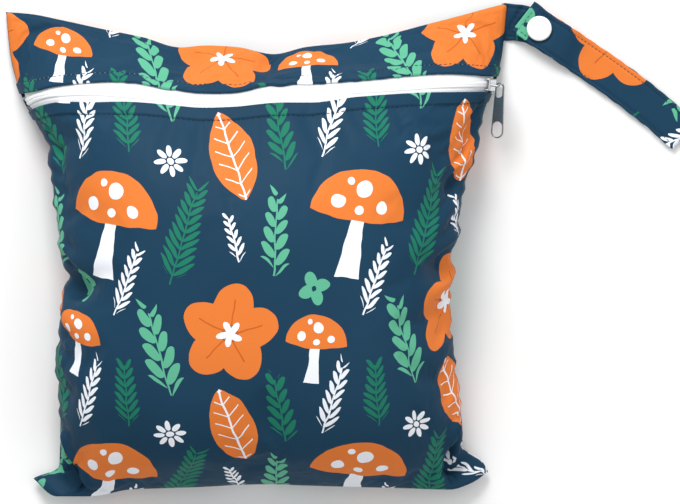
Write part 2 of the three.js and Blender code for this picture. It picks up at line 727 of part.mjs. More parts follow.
// The snapped socket and stud between the two runs, hidden, as one plain piece.
const coreProfile = [
  [0, coreBase],
  [coreRadius, coreBase],
  [coreRadius, coreTop],
  [0, coreTop],
];
addPiece('snap_core', turned(coreProfile), whiteSnap);

// The cap under the lower run, with its post.
const backProfile = [
  [0, 0],
  [snapRadius - 0.5, 0],
  [snapRadius, 0.4 * snapBackHeight],
  [snapRadius - 0.3, snapBackHeight],
  [postRadius, snapBackHeight],
  [postRadius, coreBase - clearance],
  [0, coreBase - clearance],
];
addPiece('snap_back', turned(backProfile), whiteSnap);

export default bag;
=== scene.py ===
import math
import bmesh
import bpy
import numpy as np
from mathutils import Matrix, Vector


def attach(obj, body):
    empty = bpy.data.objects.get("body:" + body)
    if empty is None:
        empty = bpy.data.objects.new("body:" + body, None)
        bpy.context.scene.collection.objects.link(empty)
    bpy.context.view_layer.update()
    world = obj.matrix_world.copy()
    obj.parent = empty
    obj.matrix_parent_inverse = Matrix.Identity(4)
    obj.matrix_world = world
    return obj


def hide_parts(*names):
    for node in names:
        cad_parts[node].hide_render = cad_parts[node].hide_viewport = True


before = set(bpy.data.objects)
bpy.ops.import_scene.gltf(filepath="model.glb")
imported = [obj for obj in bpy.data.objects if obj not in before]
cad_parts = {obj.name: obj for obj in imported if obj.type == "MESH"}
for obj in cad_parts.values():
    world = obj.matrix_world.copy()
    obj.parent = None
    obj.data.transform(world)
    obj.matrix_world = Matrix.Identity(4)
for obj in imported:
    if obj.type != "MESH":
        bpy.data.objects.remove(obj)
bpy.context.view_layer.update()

# The stuffed cloth: two faces of one laminated polyester cloth, sewn together round the edge and
# filled until they bulge. The cloth is laid out as the bag lies, then settled under the pressure
# of its filling, held at its seams and its zip. Sizes in millimetres.
BAG_WIDTH = 300
BAG_LENGTH = 290
BAG_DEPTH = 92
CLOTH_LENGTH = 320  # cloth from the bottom seam to the top seam
BAND_CLOTH = 53  # cloth from the top seam down to the middle of the zip
ZIP_OPENING = 10.8
HALF_WIDTH = BAG_WIDTH / 2
ZIP_ALONG = 1 - BAND_CLOTH / CLOTH_LENGTH
LOWER_LIP = ZIP_ALONG - ZIP_OPENING / 2 / CLOTH_LENGTH
UPPER_LIP = ZIP_ALONG + ZIP_OPENING / 2 / CLOTH_LENGTH
CLOTH_WALL = 1.2
GAP = 0.3
SHOULDER_POWER = 2.4
SEAM_FADE = 8
SEAM_RAMP = 2.4
CREASE_THICKNESS = 18
STEP = 0.002


def named_rows(columns, rows):
    """A table with its columns by name."""
    return dict(zip(columns.split(), np.array(rows, float).T))


SECTIONS = named_rows("along forward left right seam crown back wrap round", [
    [0.000, 0.000, 0.795, 0.832, 0.045, 0.30, 0.30, 20, 0.70],
    [0.030, 0.011, 0.785, 0.830, 0.070, 0.44, 0.17, 30, 0.68],
    [0.070, 0.034, 0.782, 0.828, 0.130, 0.57, 0.04, 40, 0.64],
    [0.120, 0.076, 0.784, 0.822, 0.215, 0.71, -0.09, 48, 0.60],
    [0.180, 0.135, 0.788, 0.812, 0.290, 0.83, -0.20, 53, 0.58],
    [0.260, 0.228, 0.797, 0.791, 0.350, 0.93, -0.28, 56, 0.57],
    [0.370, 0.376, 0.782, 0.777, 0.385, 0.99, -0.31, 57, 0.57],
    [0.500, 0.556, 0.785, 0.800, 0.380, 1.00, -0.31, 57, 0.57],
    [0.620, 0.718, 0.808, 0.838, 0.335, 0.955, -0.27, 57, 0.58],
    [0.730, 0.868, 0.838, 0.893, 0.235, 0.84, -0.17, 61, 0.60],
    [0.790, 0.944, 0.878, 0.920, 0.160, 0.745, -0.08, 66, 0.62],
    [0.834, 1.000, 0.925, 0.953, 0.110, 0.660, 0.00, 69, 0.63],
    [0.875, 1.000, 0.958, 0.976, 0.070, 0.56, 0.05, 58, 0.70],
    [0.930, 1.000, 0.985, 0.992, 0.045, 0.39, 0.12, 34, 0.82],
    [1.000, 1.000, 1.000, 1.005, 0.035, 0.21, 0.21, 12, 0.90],
])
ACROSS = named_rows("across top zip bottom", [
    [-1.00, 0.575, 0.386, -0.391],
    [-0.90, 0.571, 0.399, -0.427],
    [-0.78, 0.559, 0.406, -0.427],
    [-0.62, 0.541, 0.409, -0.413],
    [-0.45, 0.523, 0.403, -0.410],
    [-0.30, 0.502, 0.394, -0.408],
    [-0.20, 0.506, 0.390, -0.406],
    [-0.08, 0.503, 0.394, -0.403],
    [0.07, 0.488, 0.405, -0.402],
    [0.20, 0.503, 0.409, -0.404],
    [0.35, 0.511, 0.413, -0.406],
    [0.50, 0.526, 0.418, -0.408],
    [0.68, 0.550, 0.424, -0.410],
    [0.85, 0.573, 0.425, -0.413],
    [0.92, 0.583, 0.425, -0.402],
    [1.00, 0.593, 0.424, -0.377],
])
# The folded edges' distances from the middle of the zip, as shares of its opening at the seams.
OPENING = named_rows("across below above", [
    [-1.00, 0.50, 0.50],
    [-0.90, 0.56, 0.34],
    [-0.78, 0.59, 0.50],
    [-0.62, 0.71, 0.78],
    [-0.45, 0.57, 1.10],
    [-0.30, 0.52, 1.02],
    [-0.20, 0.56, 0.81],
    [-0.08, 0.62, 0.69],
    [0.07, 0.67, 1.24],
    [0.20, 0.74, 0.98],
    [0.35, 0.56, 1.06],
    [0.50, 0.52, 1.06],
    [0.68, 0.56, 0.94],
    [0.85, 0.53, 0.67],
    [0.92, 0.50, 0.54],
    [1.00, 0.50, 0.50],
])
# Side seams: out is how far a fold moves the seam, reach how far in that is felt.
SEAM_FOLDS = named_rows("side along out spread reach", [
    [-1, 0.000, 0.093, 0.014, 0.24],
    [-1, 0.262, 0.005, 0.040, 0.16],
    [-1, 0.448, -0.036, 0.026, 0.20],
    [-1, 0.745, -0.012, 0.022, 0.16],
    [1, 0.000, 0.093, 0.036, 0.24],
    [1, 0.428, 0.010, 0.024, 0.14],
    [1, 0.468, -0.018, 0.014, 0.16],
    [1, 0.510, 0.010, 0.018, 0.14],
    [1, 0.618, -0.006, 0.014, 0.14],
    [1, 0.672, 0.012, 0.022, 0.12],
    [1, 0.714, 0.007, 0.016, 0.12],
])
# Creases that run in from the seams; depth is a share of the bag's depth, minus for a ridge.
CREASES = named_rows("face across along turn length width depth", [
    [1, -0.97, 0.448, 14, 0.46, 0.060, 0.085],
    [1, -0.97, 0.395, -20, 0.34, 0.070, -0.040],
    [1, -0.97, 0.640, -30, 0.50, 0.080, 0.050],
    [1, -0.97, 0.720, -62, 0.46, 0.070, 0.060],
    [1, -0.97, 0.230, 26, 0.36, 0.080, 0.036],
    [1, -0.94, 0.060, 58, 0.42, 0.060, 0.070],
    [1, 0.97, 0.469, 168, 0.42, 0.060, 0.070],
    [1, 0.97, 0.380, 196, 0.34, 0.070, 0.045],
    [1, 0.97, 0.640, 214, 0.50, 0.070, 0.070],
    [1, 0.97, 0.735, 238, 0.52, 0.080, 0.060],
    [1, 0.97, 0.230, 160, 0.34, 0.080, 0.036],
    [1, 0.94, 0.060, 122, 0.42, 0.060, 0.070],
    [1, 0.07, 0.985, 262, 0.30, 0.110, 0.045],
    [1, -0.30, 0.985, 278, 0.26, 0.090, 0.035],
    [-1, -0.97, 0.448, 6, 0.26, 0.060, 0.050],
    [-1, 0.97, 0.469, 176, 0.26, 0.060, 0.050],
    [-1, -0.97, 0.660, -16, 0.30, 0.070, 0.040],
    [-1, 0.97, 0.640, 196, 0.30, 0.070, 0.040],
])


def read(table, key, column, value):
    """Reads a column at a value of its key, with a smooth curve that never overshoots."""
    x, y = table[key], table[column]
    slope = np.diff(y) / np.diff(x)
    before, after = slope[:-1], slope[1:]
    same = before * after > 0
    middle = np.where(same, 2 * before * after / np.where(same, before + after, 1), 0)
    tangent = np.concatenate(([slope[0]], middle, [slope[-1]]))
    i = np.clip(np.searchsorted(x, value) - 1, 0, len(x) - 2)
    step = x[i + 1] - x[i]
    t = np.clip((value - x[i]) / step, 0, 1)
    return (
        y[i] * (2 * t**3 - 3 * t**2 + 1)
        + y[i + 1] * (3 * t**2 - 2 * t**3)
        + tangent[i] * step * (t**3 - 2 * t**2 + t)
        + tangent[i + 1] * step * (t**3 - t**2)
    )


def mix(a, b, share):
    return a + (b - a) * share


def ramp(value, start, end):
    """0 before start and 1 after end, with a smooth change between."""
    t = np.clip((value - start) / (end - start), 0, 1)
    return t * t * (3 - 2 * t)


def seam_distance(across, along):
    sides = HALF_WIDTH * (1 - np.abs(across))
    return np.minimum(sides, CLOTH_LENGTH * np.minimum(along, 1 - along))


def stuffed_form(across, along):
    """Plan position and the heights of front and back, without creases."""
    def section(column):
        return read(SECTIONS, "along", column, along)

    def line(column):
        return BAG_LENGTH * read(ACROSS, "across", column, across)

    fill = np.clip(1 - np.abs(across) ** SHOULDER_POWER, 0, 1) ** section("round")
    wrap = np.radians(section("wrap"))
    x = np.sin(across * wrap) / np.sin(wrap) * HALF_WIDTH
    x = x * np.where(across < 0, section("left"), section("right"))
    for side, centre, out, spread, reach in zip(*SEAM_FOLDS.values()):
        up, inward = (along - centre) / spread, (1 - side * across) / reach
        x = x + side * out * HALF_WIDTH * np.exp(-(up**2) - inward**2)
    low = mix(line("bottom"), line("zip"), mix(along / ZIP_ALONG, section("forward"), fill))
    high = mix(line("zip"), line("top"), (along - ZIP_ALONG) / (1 - ZIP_ALONG))
    y = np.where(along <= ZIP_ALONG, low, high)
    seam = section("seam") * BAG_DEPTH
    front = mix(seam, section("crown") * BAG_DEPTH, fill)
    back = np.maximum(0, mix(seam, section("back") * BAG_DEPTH, fill))
    near = np.minimum(1, seam_distance(across, along) / SEAM_RAMP)
    half = GAP / 2 + (CLOTH_WALL + GAP) * near
    middle = np.maximum((front + back) / 2, half)
    return x, y, np.maximum(front, middle + half), np.minimum(back, middle - half)


def plain_point(across, along, face):
    x, y, front, back = stuffed_form(across, along)
    return np.stack([x, y, front if face > 0 else back], axis=-1)


def outward(surface, across, along, face):
    a0, a1 = np.maximum(across - STEP, -1), np.minimum(across + STEP, 1)
    v0, v1 = np.maximum(along - STEP, 0), np.minimum(along + STEP, 1)
    over = surface(a1, along, face) - surface(a0, along, face)
    up = surface(across, v1, face) - surface(across, v0, face)
    normal = face * np.cross(over, up)
    return normal / np.maximum(np.linalg.norm(normal, axis=-1, keepdims=True), 1e-9)


def crease_depth(table, across, along, face):
    depth = np.zeros_like(across)
    for side, u, v, turn, length, width, deep in zip(*table.values()):
        if side != face:
            continue
        dx, dy = (across - u) * HALF_WIDTH, (along - v) * CLOTH_LENGTH
        c, s = math.cos(math.radians(turn)), math.sin(math.radians(turn))
        run = (dx * c + dy * s) / (length * HALF_WIDTH)
        off = (dy * c - dx * s) / (width * HALF_WIDTH)
        fall = np.where(run < 0, 1, (1 - run) ** 2)
        depth += np.where((run > 1) | (run < -0.2), 0, deep * BAG_DEPTH * np.exp(-(off**2)) * fall)
    return depth


def bag_point(across, along, face):
    across, along = np.broadcast_arrays(np.asarray(across, float), np.asarray(along, float))
    x, y, front, back = stuffed_form(across, along)
    fade = np.minimum(1, seam_distance(across, along) / SEAM_FADE)
    thick = np.minimum(1, (front - back) / CREASE_THICKNESS)
    raised = 1 if face > 0 else np.minimum(1, back / CREASE_THICKNESS)
    depth = crease_depth(CREASES, across, along, face) * fade * thick**2 * raised
    point = plain_point(across, along, face)
    point = point - outward(plain_point, across, along, face) * depth[..., None]
    point[..., 2] = np.maximum(point[..., 2], 0)
    return point


def squeezed_steps(start, end, count, squeeze):
    """Even steps squeezed towards both ends of a range."""
    t = np.linspace(-1, 1, count + 1)
    return mix(start, end, (t + squeeze * np.sin(np.pi * t) / np.pi + 1) / 2)


# Small puckers that the sewing draws into both faces along the side seams and the bottom seam.
PUCKER_SPACING = 11
shuffle = np.random.default_rng(7)
pucker_rows = []
for side in (-1, 1):
    place = 0.03
    while place < 0.80:
        place += PUCKER_SPACING / CLOTH_LENGTH * shuffle.uniform(0.6, 1.5)
        for face in (1, -1):
            turn = shuffle.uniform(-26, 26) + (0 if side < 0 else 180)
            length, width = shuffle.uniform(0.10, 0.30), shuffle.uniform(0.020, 0.036)
            deep = shuffle.uniform(0.008, 0.022) * (1 if shuffle.random() < 0.75 else -0.7)
            pucker_rows.append([face, side * 0.985, place, turn, length, width, deep])
# Sharper folds: at the pinched top edge, where each bottom corner is drawn out of the body, and
# in the side seams under the zip's ends and at the pinches.
pucker_rows += [
    [1, 0.060, 0.990, 250, 0.26, 0.022, 0.045],
    [1, 0.130, 0.990, 262, 0.20, 0.030, -0.018],
    [1, -0.265, 0.990, 285, 0.18, 0.022, 0.030],
    [1, -0.330, 0.990, 275, 0.16, 0.030, -0.014],
    [1, -0.985, 0.082, -52, 0.44, 0.020, 0.130],
    [1, -0.935, 0.096, -56, 0.36, 0.026, -0.050],
    [1, -0.985, 0.048, -40, 0.24, 0.014, 0.050],
    [1, -0.990, 0.020, -12, 0.16, 0.014, 0.030],
    [1, -0.760, 0.004, 96, 0.26, 0.024, 0.022],
    [1, 0.985, 0.094, 238, 0.48, 0.020, 0.140],
    [1, 0.930, 0.106, 240, 0.38, 0.026, -0.055],
    [1, 0.988, 0.036, 170, 0.22, 0.014, 0.075],
    [1, 0.988, 0.060, 184, 0.20, 0.013, -0.045],
    [1, 0.780, 0.004, 84, 0.24, 0.024, 0.020],
    [1, 0.975, 0.806, 238, 0.40, 0.020, 0.045],
    [1, 0.930, 0.800, 244, 0.38, 0.026, -0.026],
    [1, 0.985, 0.728, 232, 0.34, 0.020, 0.045],
    [1, 0.985, 0.690, 222, 0.26, 0.020, -0.028],
    [1, 0.985, 0.640, 222, 0.34, 0.020, 0.040],
    [1, 0.985, 0.560, 204, 0.30, 0.020, 0.034],
    [1, 0.985, 0.520, 200, 0.24, 0.020, -0.022],
    [1, 0.985, 0.440, 166, 0.30, 0.018, 0.036],
    [1, 0.985, 0.330, 186, 0.26, 0.022, 0.024],
    [1, 0.985, 0.200, 176, 0.26, 0.022, 0.024],
    [1, -0.985, 0.508, -32, 0.30, 0.018, 0.050],
    [1, -0.985, 0.532, -30, 0.24, 0.020, -0.030],
    [1, -0.985, 0.436, 18, 0.30, 0.018, 0.040],
    [1, -0.985, 0.350, -8, 0.22, 0.022, 0.022],
    [-1, -0.950, 0.060, -50, 0.28, 0.022, 0.030],
    [-1, 0.950, 0.060, 230, 0.28, 0.022, 0.030],
]
PUCKERS = named_rows("face across along turn length width depth", pucker_rows)

GRID_ACROSS = squeezed_steps(-1, 1, 116, 0.5)
GRID_ALONG = squeezed_steps(0, 1, 120, 0.35)
FILLING_PRESSURE = 3.0
SPARE_CLOTH = 0.012  # the cloth is cut this much larger than the form that it is drawn into
MOST_MOVE = 7
SETTLING_FRAMES = 20


def made(bm, name, *finishes):
    """The finished mesh with its materials."""
    mesh = bpy.data.meshes.new(name)
    bm.to_mesh(mesh)
    bm.free()
    for finish in finishes:
        mesh.materials.append(finish)
    return mesh


def placed(name, data):
    """An object in the scene, from its mesh, light or camera."""
    item = bpy.data.objects.new(name, data)
    bpy.context.collection.objects.link(item)
    return item


def points_of(mesh):
    flat = np.empty(len(mesh.vertices) * 3)
    mesh.vertices.foreach_get("co", flat)
    return flat.reshape(-1, 3)


def move_points(mesh, points):
    """Moves a mesh's vertices to places in millimetres."""
    mesh.vertices.foreach_set("co", (points / 1000).ravel())


def grid_of(columns, rows, name):
    """A flat mesh of the cloth's rows and columns, and each vertex's place in them."""
    bm = bmesh.new()
    bmesh.ops.create_grid(bm, x_segments=len(columns) - 1, y_segments=len(rows) - 1, size=1)
    mesh = made(bm, name)
    unit = (points_of(mesh) + 1) / 2
    i = np.rint(unit[:, 0] * (len(columns) - 1)).astype(int)
    j = np.rint(unit[:, 1] * (len(rows) - 1)).astype(int)
    return mesh, i, j


def settle(face):
    """One face's grid of points after the filling has pressed it out."""
    mesh, i, j = grid_of(GRID_ACROSS, GRID_ALONG, "settling")
    u, v = GRID_ACROSS[i], GRID_ALONG[j]
    start = bag_point(u, v, face)
    move_points(mesh, start)
    if face < 0:
        mesh.flip_normals()
    cloth = placed("settling", mesh)
    held = cloth.vertex_groups.new(name="held")
    hold = 1 - ramp(seam_distance(u, v), 0.5, 6)
    if face > 0:
        hold = np.maximum(hold, 1 - ramp(np.abs(v - ZIP_ALONG) * CLOTH_LENGTH, 7, 16))
    for index, weight in enumerate(hold):
        if weight > 0.01:
            held.add([index], float(weight), "REPLACE")
    pressed = cloth.modifiers.new("filling", "CLOTH")
    pressed.point_cache.frame_end = SETTLING_FRAMES
    pressed.collision_settings.use_collision = False
    rules = pressed.settings
    rules.quality = 6
    rules.tension_stiffness = rules.compression_stiffness = 20
    rules.shear_stiffness = 8
    rules.bending_stiffness = 0.6
    rules.shrink_min = -SPARE_CLOTH
    rules.use_pressure = True
    rules.uniform_pressure_force = FILLING_PRESSURE
    rules.vertex_group_mass = "held"
    rules.effector_weights.gravity = 0
    for step in range(1, SETTLING_FRAMES + 1):
        bpy.context.scene.frame_set(step)
    ready = cloth.evaluated_get(bpy.context.evaluated_depsgraph_get()).to_mesh()
    moved = points_of(ready) * 1000 - start
    size = np.linalg.norm(moved, axis=1, keepdims=True)
    moved *= np.minimum(1, MOST_MOVE / np.maximum(size, 1e-6))
    start = start + moved * (1 - hold[:, None])
    start[:, 2] = np.maximum(start[:, 2], 0)
    bpy.data.objects.remove(cloth)
    bpy.context.scene.frame_set(1)
    bpy.data.meshes.remove(mesh)
    points = np.empty((len(GRID_ALONG), len(GRID_ACROSS), 3))
    points[j, i] = start
    return points


def outward_of(points, face):
    normal = face * np.cross(np.gradient(points, axis=1), np.gradient(points, axis=0))
    return normal / np.maximum(np.linalg.norm(normal, axis=2, keepdims=True), 1e-9)


def cubic(grid, row, column):
    """Reads a grid of values between its rows and columns, on smooth curves."""
    def corners(place, count):
        first = np.clip(np.floor(place).astype(int), 0, count - 2)
        t = (place - first)[:, None]
        index = [np.clip(first + k, 0, count - 1) for k in (-1, 0, 1, 2)]
        weight = [
            (-t + 2 * t**2 - t**3) / 2,
            (2 - 5 * t**2 + 3 * t**3) / 2,
            (t + 4 * t**2 - 3 * t**3) / 2,
            (t**3 - t**2) / 2,
        ]
        return list(zip(index, weight))

    total = 0
    for r, row_weight in corners(row, grid.shape[0]):
        for c, column_weight in corners(column, grid.shape[1]):
            total = total + grid[r, c] * row_weight * column_weight
    return total


FINE_ACROSS = squeezed_steps(-1, 1, 250, 0.5)
FINE_ALONG = squeezed_steps(0, 1, 260, 0.35)
u, v = np.meshgrid(FINE_ACROSS, FINE_ALONG)
# The side seams are gathered into short waves by their stitches.
waves = 0.55 * np.sin(v * 134 + 1) + 0.4 * np.sin(v * 71 + 2) + 0.3 * np.sin(v * 219)
waves *= ramp(v, 0.10, 0.16) * (1 - ramp(v, 0.74, 0.80))
# The right corner stands out of the side more squarely.
waves += (u > 0) * (
    2.0 * np.exp(-(((v - 0.028) / 0.012) ** 2)) - 2.6 * np.exp(-(((v - 0.055) / 0.014) ** 2))
)
settled = {}
for face in (1, -1):
    row = np.interp(v, GRID_ALONG, np.arange(len(GRID_ALONG)))
    column = np.interp(u, GRID_ACROSS, np.arange(len(GRID_ACROSS)))
    points = cubic(settle(face), row.ravel(), column.ravel()).reshape(*u.shape, 3)
    zip_hold = ramp(np.abs(v - ZIP_ALONG) * CLOTH_LENGTH, 14, 26) if face > 0 else 1
    fade = ramp(seam_distance(u, v), 0, SEAM_FADE) * zip_hold
    depth = crease_depth(PUCKERS, u.ravel(), v.ravel(), face).reshape(u.shape) * fade
    points -= outward_of(points, face) * depth[..., None]
    points[..., 0] += np.sign(u) * waves * np.exp(-(1 - np.abs(u)) / 0.05)
    points[..., 2] = np.maximum(points[..., 2], 0)
    steps = np.linalg.norm(np.diff(points, axis=1), axis=2)
    run = np.concatenate([np.zeros((len(points), 1)), np.cumsum(steps, axis=1)], axis=1)
    run -= run[:, [len(FINE_ACROSS) // 2]]
    settled[face] = np.concatenate([points, outward_of(points, face), run[..., None]], axis=2)


def on_cloth(across, along, face=1, height=0):
    """Points at a height over the settled cloth, their outward directions and the cloth's run."""
    across, along, height = np.broadcast_arrays(
        np.asarray(across, float), np.asarray(along, float), np.asarray(height, float)
    )
    column = np.interp(across, FINE_ACROSS, np.arange(len(FINE_ACROSS)))
    row = np.interp(along, FINE_ALONG, np.arange(len(FINE_ALONG)))
    values = cubic(settled[face], row, column)
    normal = values[:, 3:6]
    normal = normal / np.linalg.norm(normal, axis=1, keepdims=True)
    return values[:, :3] + normal * height[:, None], normal, values[:, 6]


def drawn_back(across, along):
    """Rows of the front, drawn back from the zip as far as its folded edges are there."""
    above = along > ZIP_ALONG
    away = np.abs(along - ZIP_ALONG) * CLOTH_LENGTH
    lip = ZIP_OPENING / 2
    share = np.where(
        above, read(OPENING, "across", "above", across), read(OPENING, "across", "below", across)
    )
    extra = ZIP_OPENING * share - lip
    # The tape stretches from the zip's middle to the lip; the cloth beyond is moved, less and less.
    near = np.minimum(1, away / lip) * (1 - ramp(away, lip + 10, np.where(above, BAND_CLOTH, 80)))
    return along + np.where(above, 1, -1) * extra * near / CLOTH_LENGTH


# The printed cloth: polyester knit laminated with a waterproof film, printed in flat navy,
# orange, two greens and white. The print is a generic one of toadstools, blossoms and sprigs, in
# the colours and at the scale of the real cloth. The knit gives it a faint rib and a soft sheen.
NAVY, DEEP_NAVY = "#1e4058", "#18374d"
ORANGE, DEEP_ORANGE = "#dc7836", "#bf5f27"
MINT, GREEN, WHITE = "#5cad8c", "#1f735b", "#e9edf3"
REPEAT = (152, 168)  # the print repeats after this much cloth, across and up
RIB = 1.8  # knit ribs, really 0.6 mm apart, drawn coarser so that they show


def linear(colour):
    """An sRGB hex colour as the linear one that the shaders take."""
    parts = [int(colour[i : i + 2], 16) / 255 for i in (1, 3, 5)]
    return [p / 12.92 if p <= 0.04045 else ((p + 0.055) / 1.055) ** 2.4 for p in parts] + [1]


def add(tree, kind, *values, named=None, out=0, **settings):
    """Adds a node with its settings, and gives its sockets values or links them."""
    node = tree.nodes.new("ShaderNode" + kind)
    for name, value in settings.items():
        setattr(node, name, value)
    for place, value in {**dict(enumerate(values)), **(named or {})}.items():
        if value is None:
            continue
        if isinstance(value, bpy.types.NodeSocket):
            tree.links.new(value, node.inputs[place])
        else:
            node.inputs[place].default_value = value
    return node.outputs[out]


def finish_named(name):
    """A new material with its tree and its empty main shader."""
    finish = bpy.data.materials.new(name)
    finish.use_nodes = True
    tree = finish.node_tree
    return finish, tree, tree.nodes["Principled BSDF"]


def shaded(tree, share, first, second):
    """The colour between two others."""
    return add(tree, "Mix", share, named={6: first, 7: second}, out=2, data_type="RGBA")


def mottled_finish(name, scale, detail, dark, light):
    """A finish in two close shades, with so many spots to a metre, and its pattern."""
    finish, tree, surface = finish_named(name)
    place = add(tree, "TexCoord", out=3)
    spots = add(tree, "TexNoise", place, named={"Scale": scale, "Detail": detail})
    tree.links.new(
        shaded(tree, spots, linear(dark), linear(light)), surface.inputs["Base Color"]
    )
    return finish, tree, surface, spots


def motif_axes(tree, cloth, x, y, turn):
    """The nearest repeat's own axes in millimetres: the place itself, across it and up it."""
    moved = add(tree, "VectorMath", cloth, (x, y, 0), operation="SUBTRACT")
    half = (REPEAT[0] / 2, REPEAT[1] / 2, 1)
    near = add(tree, "VectorMath", moved, half, tuple(-h for h in half), operation="WRAP")
    spun = add(
        tree, "VectorRotate", near, rotation_type="Z_AXIS", named={"Angle": math.radians(-turn)}
    )
    split = add(tree, "SeparateXYZ", spun).node
    return spun, split.outputs[0], split.outputs[1]


def leaf_half(tree, along, power, factor):
    """A leaf's or petal's half width at a share of its length, with none at both ends."""
    rest = add(tree, "Math", 1, along, operation="SUBTRACT")
    bulge = add(tree, "Math", along, rest, operation="MULTIPLY")
    profile = add(tree, "Math", bulge, power, operation="POWER")
    return add(tree, "Math", profile, factor, operation="MULTIPLY")


def sprig(tree, cloth, x, y, turn, length, pitch, leaf, width, lean, alternate=1):
    """A stem with leaves on both sides: leaf is their length, lean their angle to the stem."""
    _, over, up = motif_axes(tree, cloth, x, y, turn)
    up = add(tree, "Math", up, length / 2, operation="ADD")
    side = add(tree, "Math", over, operation="ABSOLUTE")
    cot, sine = 1 / math.tan(math.radians(lean)), math.sin(math.radians(lean))
    root = add(tree, "Math", side, -cot, up, operation="MULTIPLY_ADD")
    if alternate:
        which = add(tree, "Math", over, operation="SIGN")
        root = add(tree, "Math", which, pitch / 4, root, operation="MULTIPLY_ADD")
    reach = add(
        tree, "Math", root, -0.45 * leaf * sine / length, leaf * sine, operation="MULTIPLY_ADD"
    )
    along = add(tree, "Math", side, reach, operation="DIVIDE")
    half = leaf_half(tree, along, 0.7, 2.64 * width / 2 / sine)
    off = add(tree, "Math", root, pitch / 2, operation="PINGPONG")
    leaves = add(tree, "Math", off, half, operation="LESS_THAN")
    here = add(tree, "Math", root, length * 0.53, length * 0.50, operation="COMPARE")
    leaves = add(tree, "Math", leaves, here, operation="MULTIPLY")
    thin = add(tree, "Math", side, 0.0, 0.5, operation="COMPARE")
    tall = add(tree, "Math", up, length / 2, length / 2, operation="COMPARE")
    stem = add(tree, "Math", thin, tall, operation="MULTIPLY")
    return add(tree, "Math", leaves, stem, operation="MAXIMUM")


def blossom(tree, cloth, x, y, turn, petals, inner, outer, width, eye=0):
    """Petals round a point from the inner to the outer radius, and their middle veins."""
    place, over, up = motif_axes(tree, cloth, x, y, turn)
    angle = add(tree, "Math", up, over, operation="ARCTAN2")
    radius = add(tree, "VectorMath", place, operation="LENGTH", out=1)
    turns = add(tree, "Math", angle, petals / math.tau, operation="MULTIPLY")
    off = add(tree, "Math", turns, 0.5, operation="PINGPONG")
    off = add(tree, "Math", off, radius, operation="MULTIPLY")
    line = add(tree, "Math", off, 0.45 * petals / math.tau, operation="LESS_THAN")
    short = add(tree, "Math", radius, inner + 0.6 * (outer - inner), operation="LESS_THAN")
    vein = add(tree, "Math", line, short, operation="MULTIPLY")
    along = add(tree, "MapRange", radius, inner, outer, 0, 1, clamp=False)
    half = leaf_half(tree, along, 0.5, width * petals / math.tau)
    shape = add(tree, "Math", off, half, operation="LESS_THAN")
    if eye:
        middle = add(tree, "Math", radius, eye, operation="LESS_THAN")
        shape = add(tree, "Math", shape, middle, operation="MAXIMUM")
    return shape, vein


def toadstool(tree, cloth, x, y, turn, size):
    """The cap, and the stalk with the cap's spots."""
    place, over, up = motif_axes(tree, cloth, x, y, turn)
    squashed = add(
        tree, "VectorMath", place, (1 / (30 * size), 1 / (27 * size), 0), operation="MULTIPLY"
    )
    round_ = add(tree, "VectorMath", squashed, operation="LENGTH", out=1)
    inside = add(tree, "Math", round_, 1, operation="LESS_THAN")
    square = add(tree, "Math", over, over, operation="MULTIPLY")
    brim = add(tree, "Math", square, 0.005 / size, -5 * size, operation="MULTIPLY_ADD")
    above = add(tree, "Math", up, brim, operation="GREATER_THAN")
    cap = add(tree, "Math", inside, above, operation="MULTIPLY")
    side = add(tree, "Math", over, operation="ABSOLUTE")
    fall = add(tree, "Math", up, up, operation="MULTIPLY")
    thick = add(tree, "Math", fall, 0.0026 / size, 4.2 * size, operation="MULTIPLY_ADD")
    stalk = add(tree, "Math", side, thick, operation="LESS_THAN")
    tall = add(tree, "Math", up, -20 * size, 18 * size, operation="COMPARE")
    stalk = add(tree, "Math", stalk, tall, operation="MULTIPLY")
    under = add(tree, "Math", 1, cap, operation="SUBTRACT")
    white = add(tree, "Math", stalk, under, operation="MULTIPLY")
    for sx, sy, sr in ((-14, 6, 4.2), (1, 15, 5.0), (14, 5, 3.8), (0, 2, 3.0), (-8, 19, 2.4)):
        spot = (sx * size, sy * size, 0)
        near = add(tree, "VectorMath", place, spot, operation="DISTANCE", out=1)
        dot = add(tree, "Math", near, sr * size, operation="LESS_THAN")
        white = add(tree, "Math", white, dot, operation="MAXIMUM")
    return cap, white


def broad_leaf(tree, cloth, x, y, turn, length, width):
    """A single leaf, and its midrib with veins."""
    _, over, up = motif_axes(tree, cloth, x, y, turn)
    along = add(tree, "Math", up, 1 / length, 0.5, operation="MULTIPLY_ADD")
    half = leaf_half(tree, along, 0.8, 3.03 * width / 2)
    side = add(tree, "Math", over, operation="ABSOLUTE")
    leaf = add(tree, "Math", side, half, operation="LESS_THAN")
    slant = add(tree, "Math", side, -0.8, up, operation="MULTIPLY_ADD")
    off = add(tree, "Math", slant, 4.5, operation="PINGPONG")
    vein = add(tree, "Math", off, 0.45, operation="LESS_THAN")
    rib = add(tree, "Math", side, 0.6, operation="LESS_THAN")
    lines = add(tree, "Math", vein, rib, operation="MAXIMUM")
    shorter = add(tree, "Math", half, 0.72, operation="MULTIPLY")
    within = add(tree, "Math", side, shorter, operation="LESS_THAN")
    return leaf, add(tree, "Math", lines, within, operation="MULTIPLY")


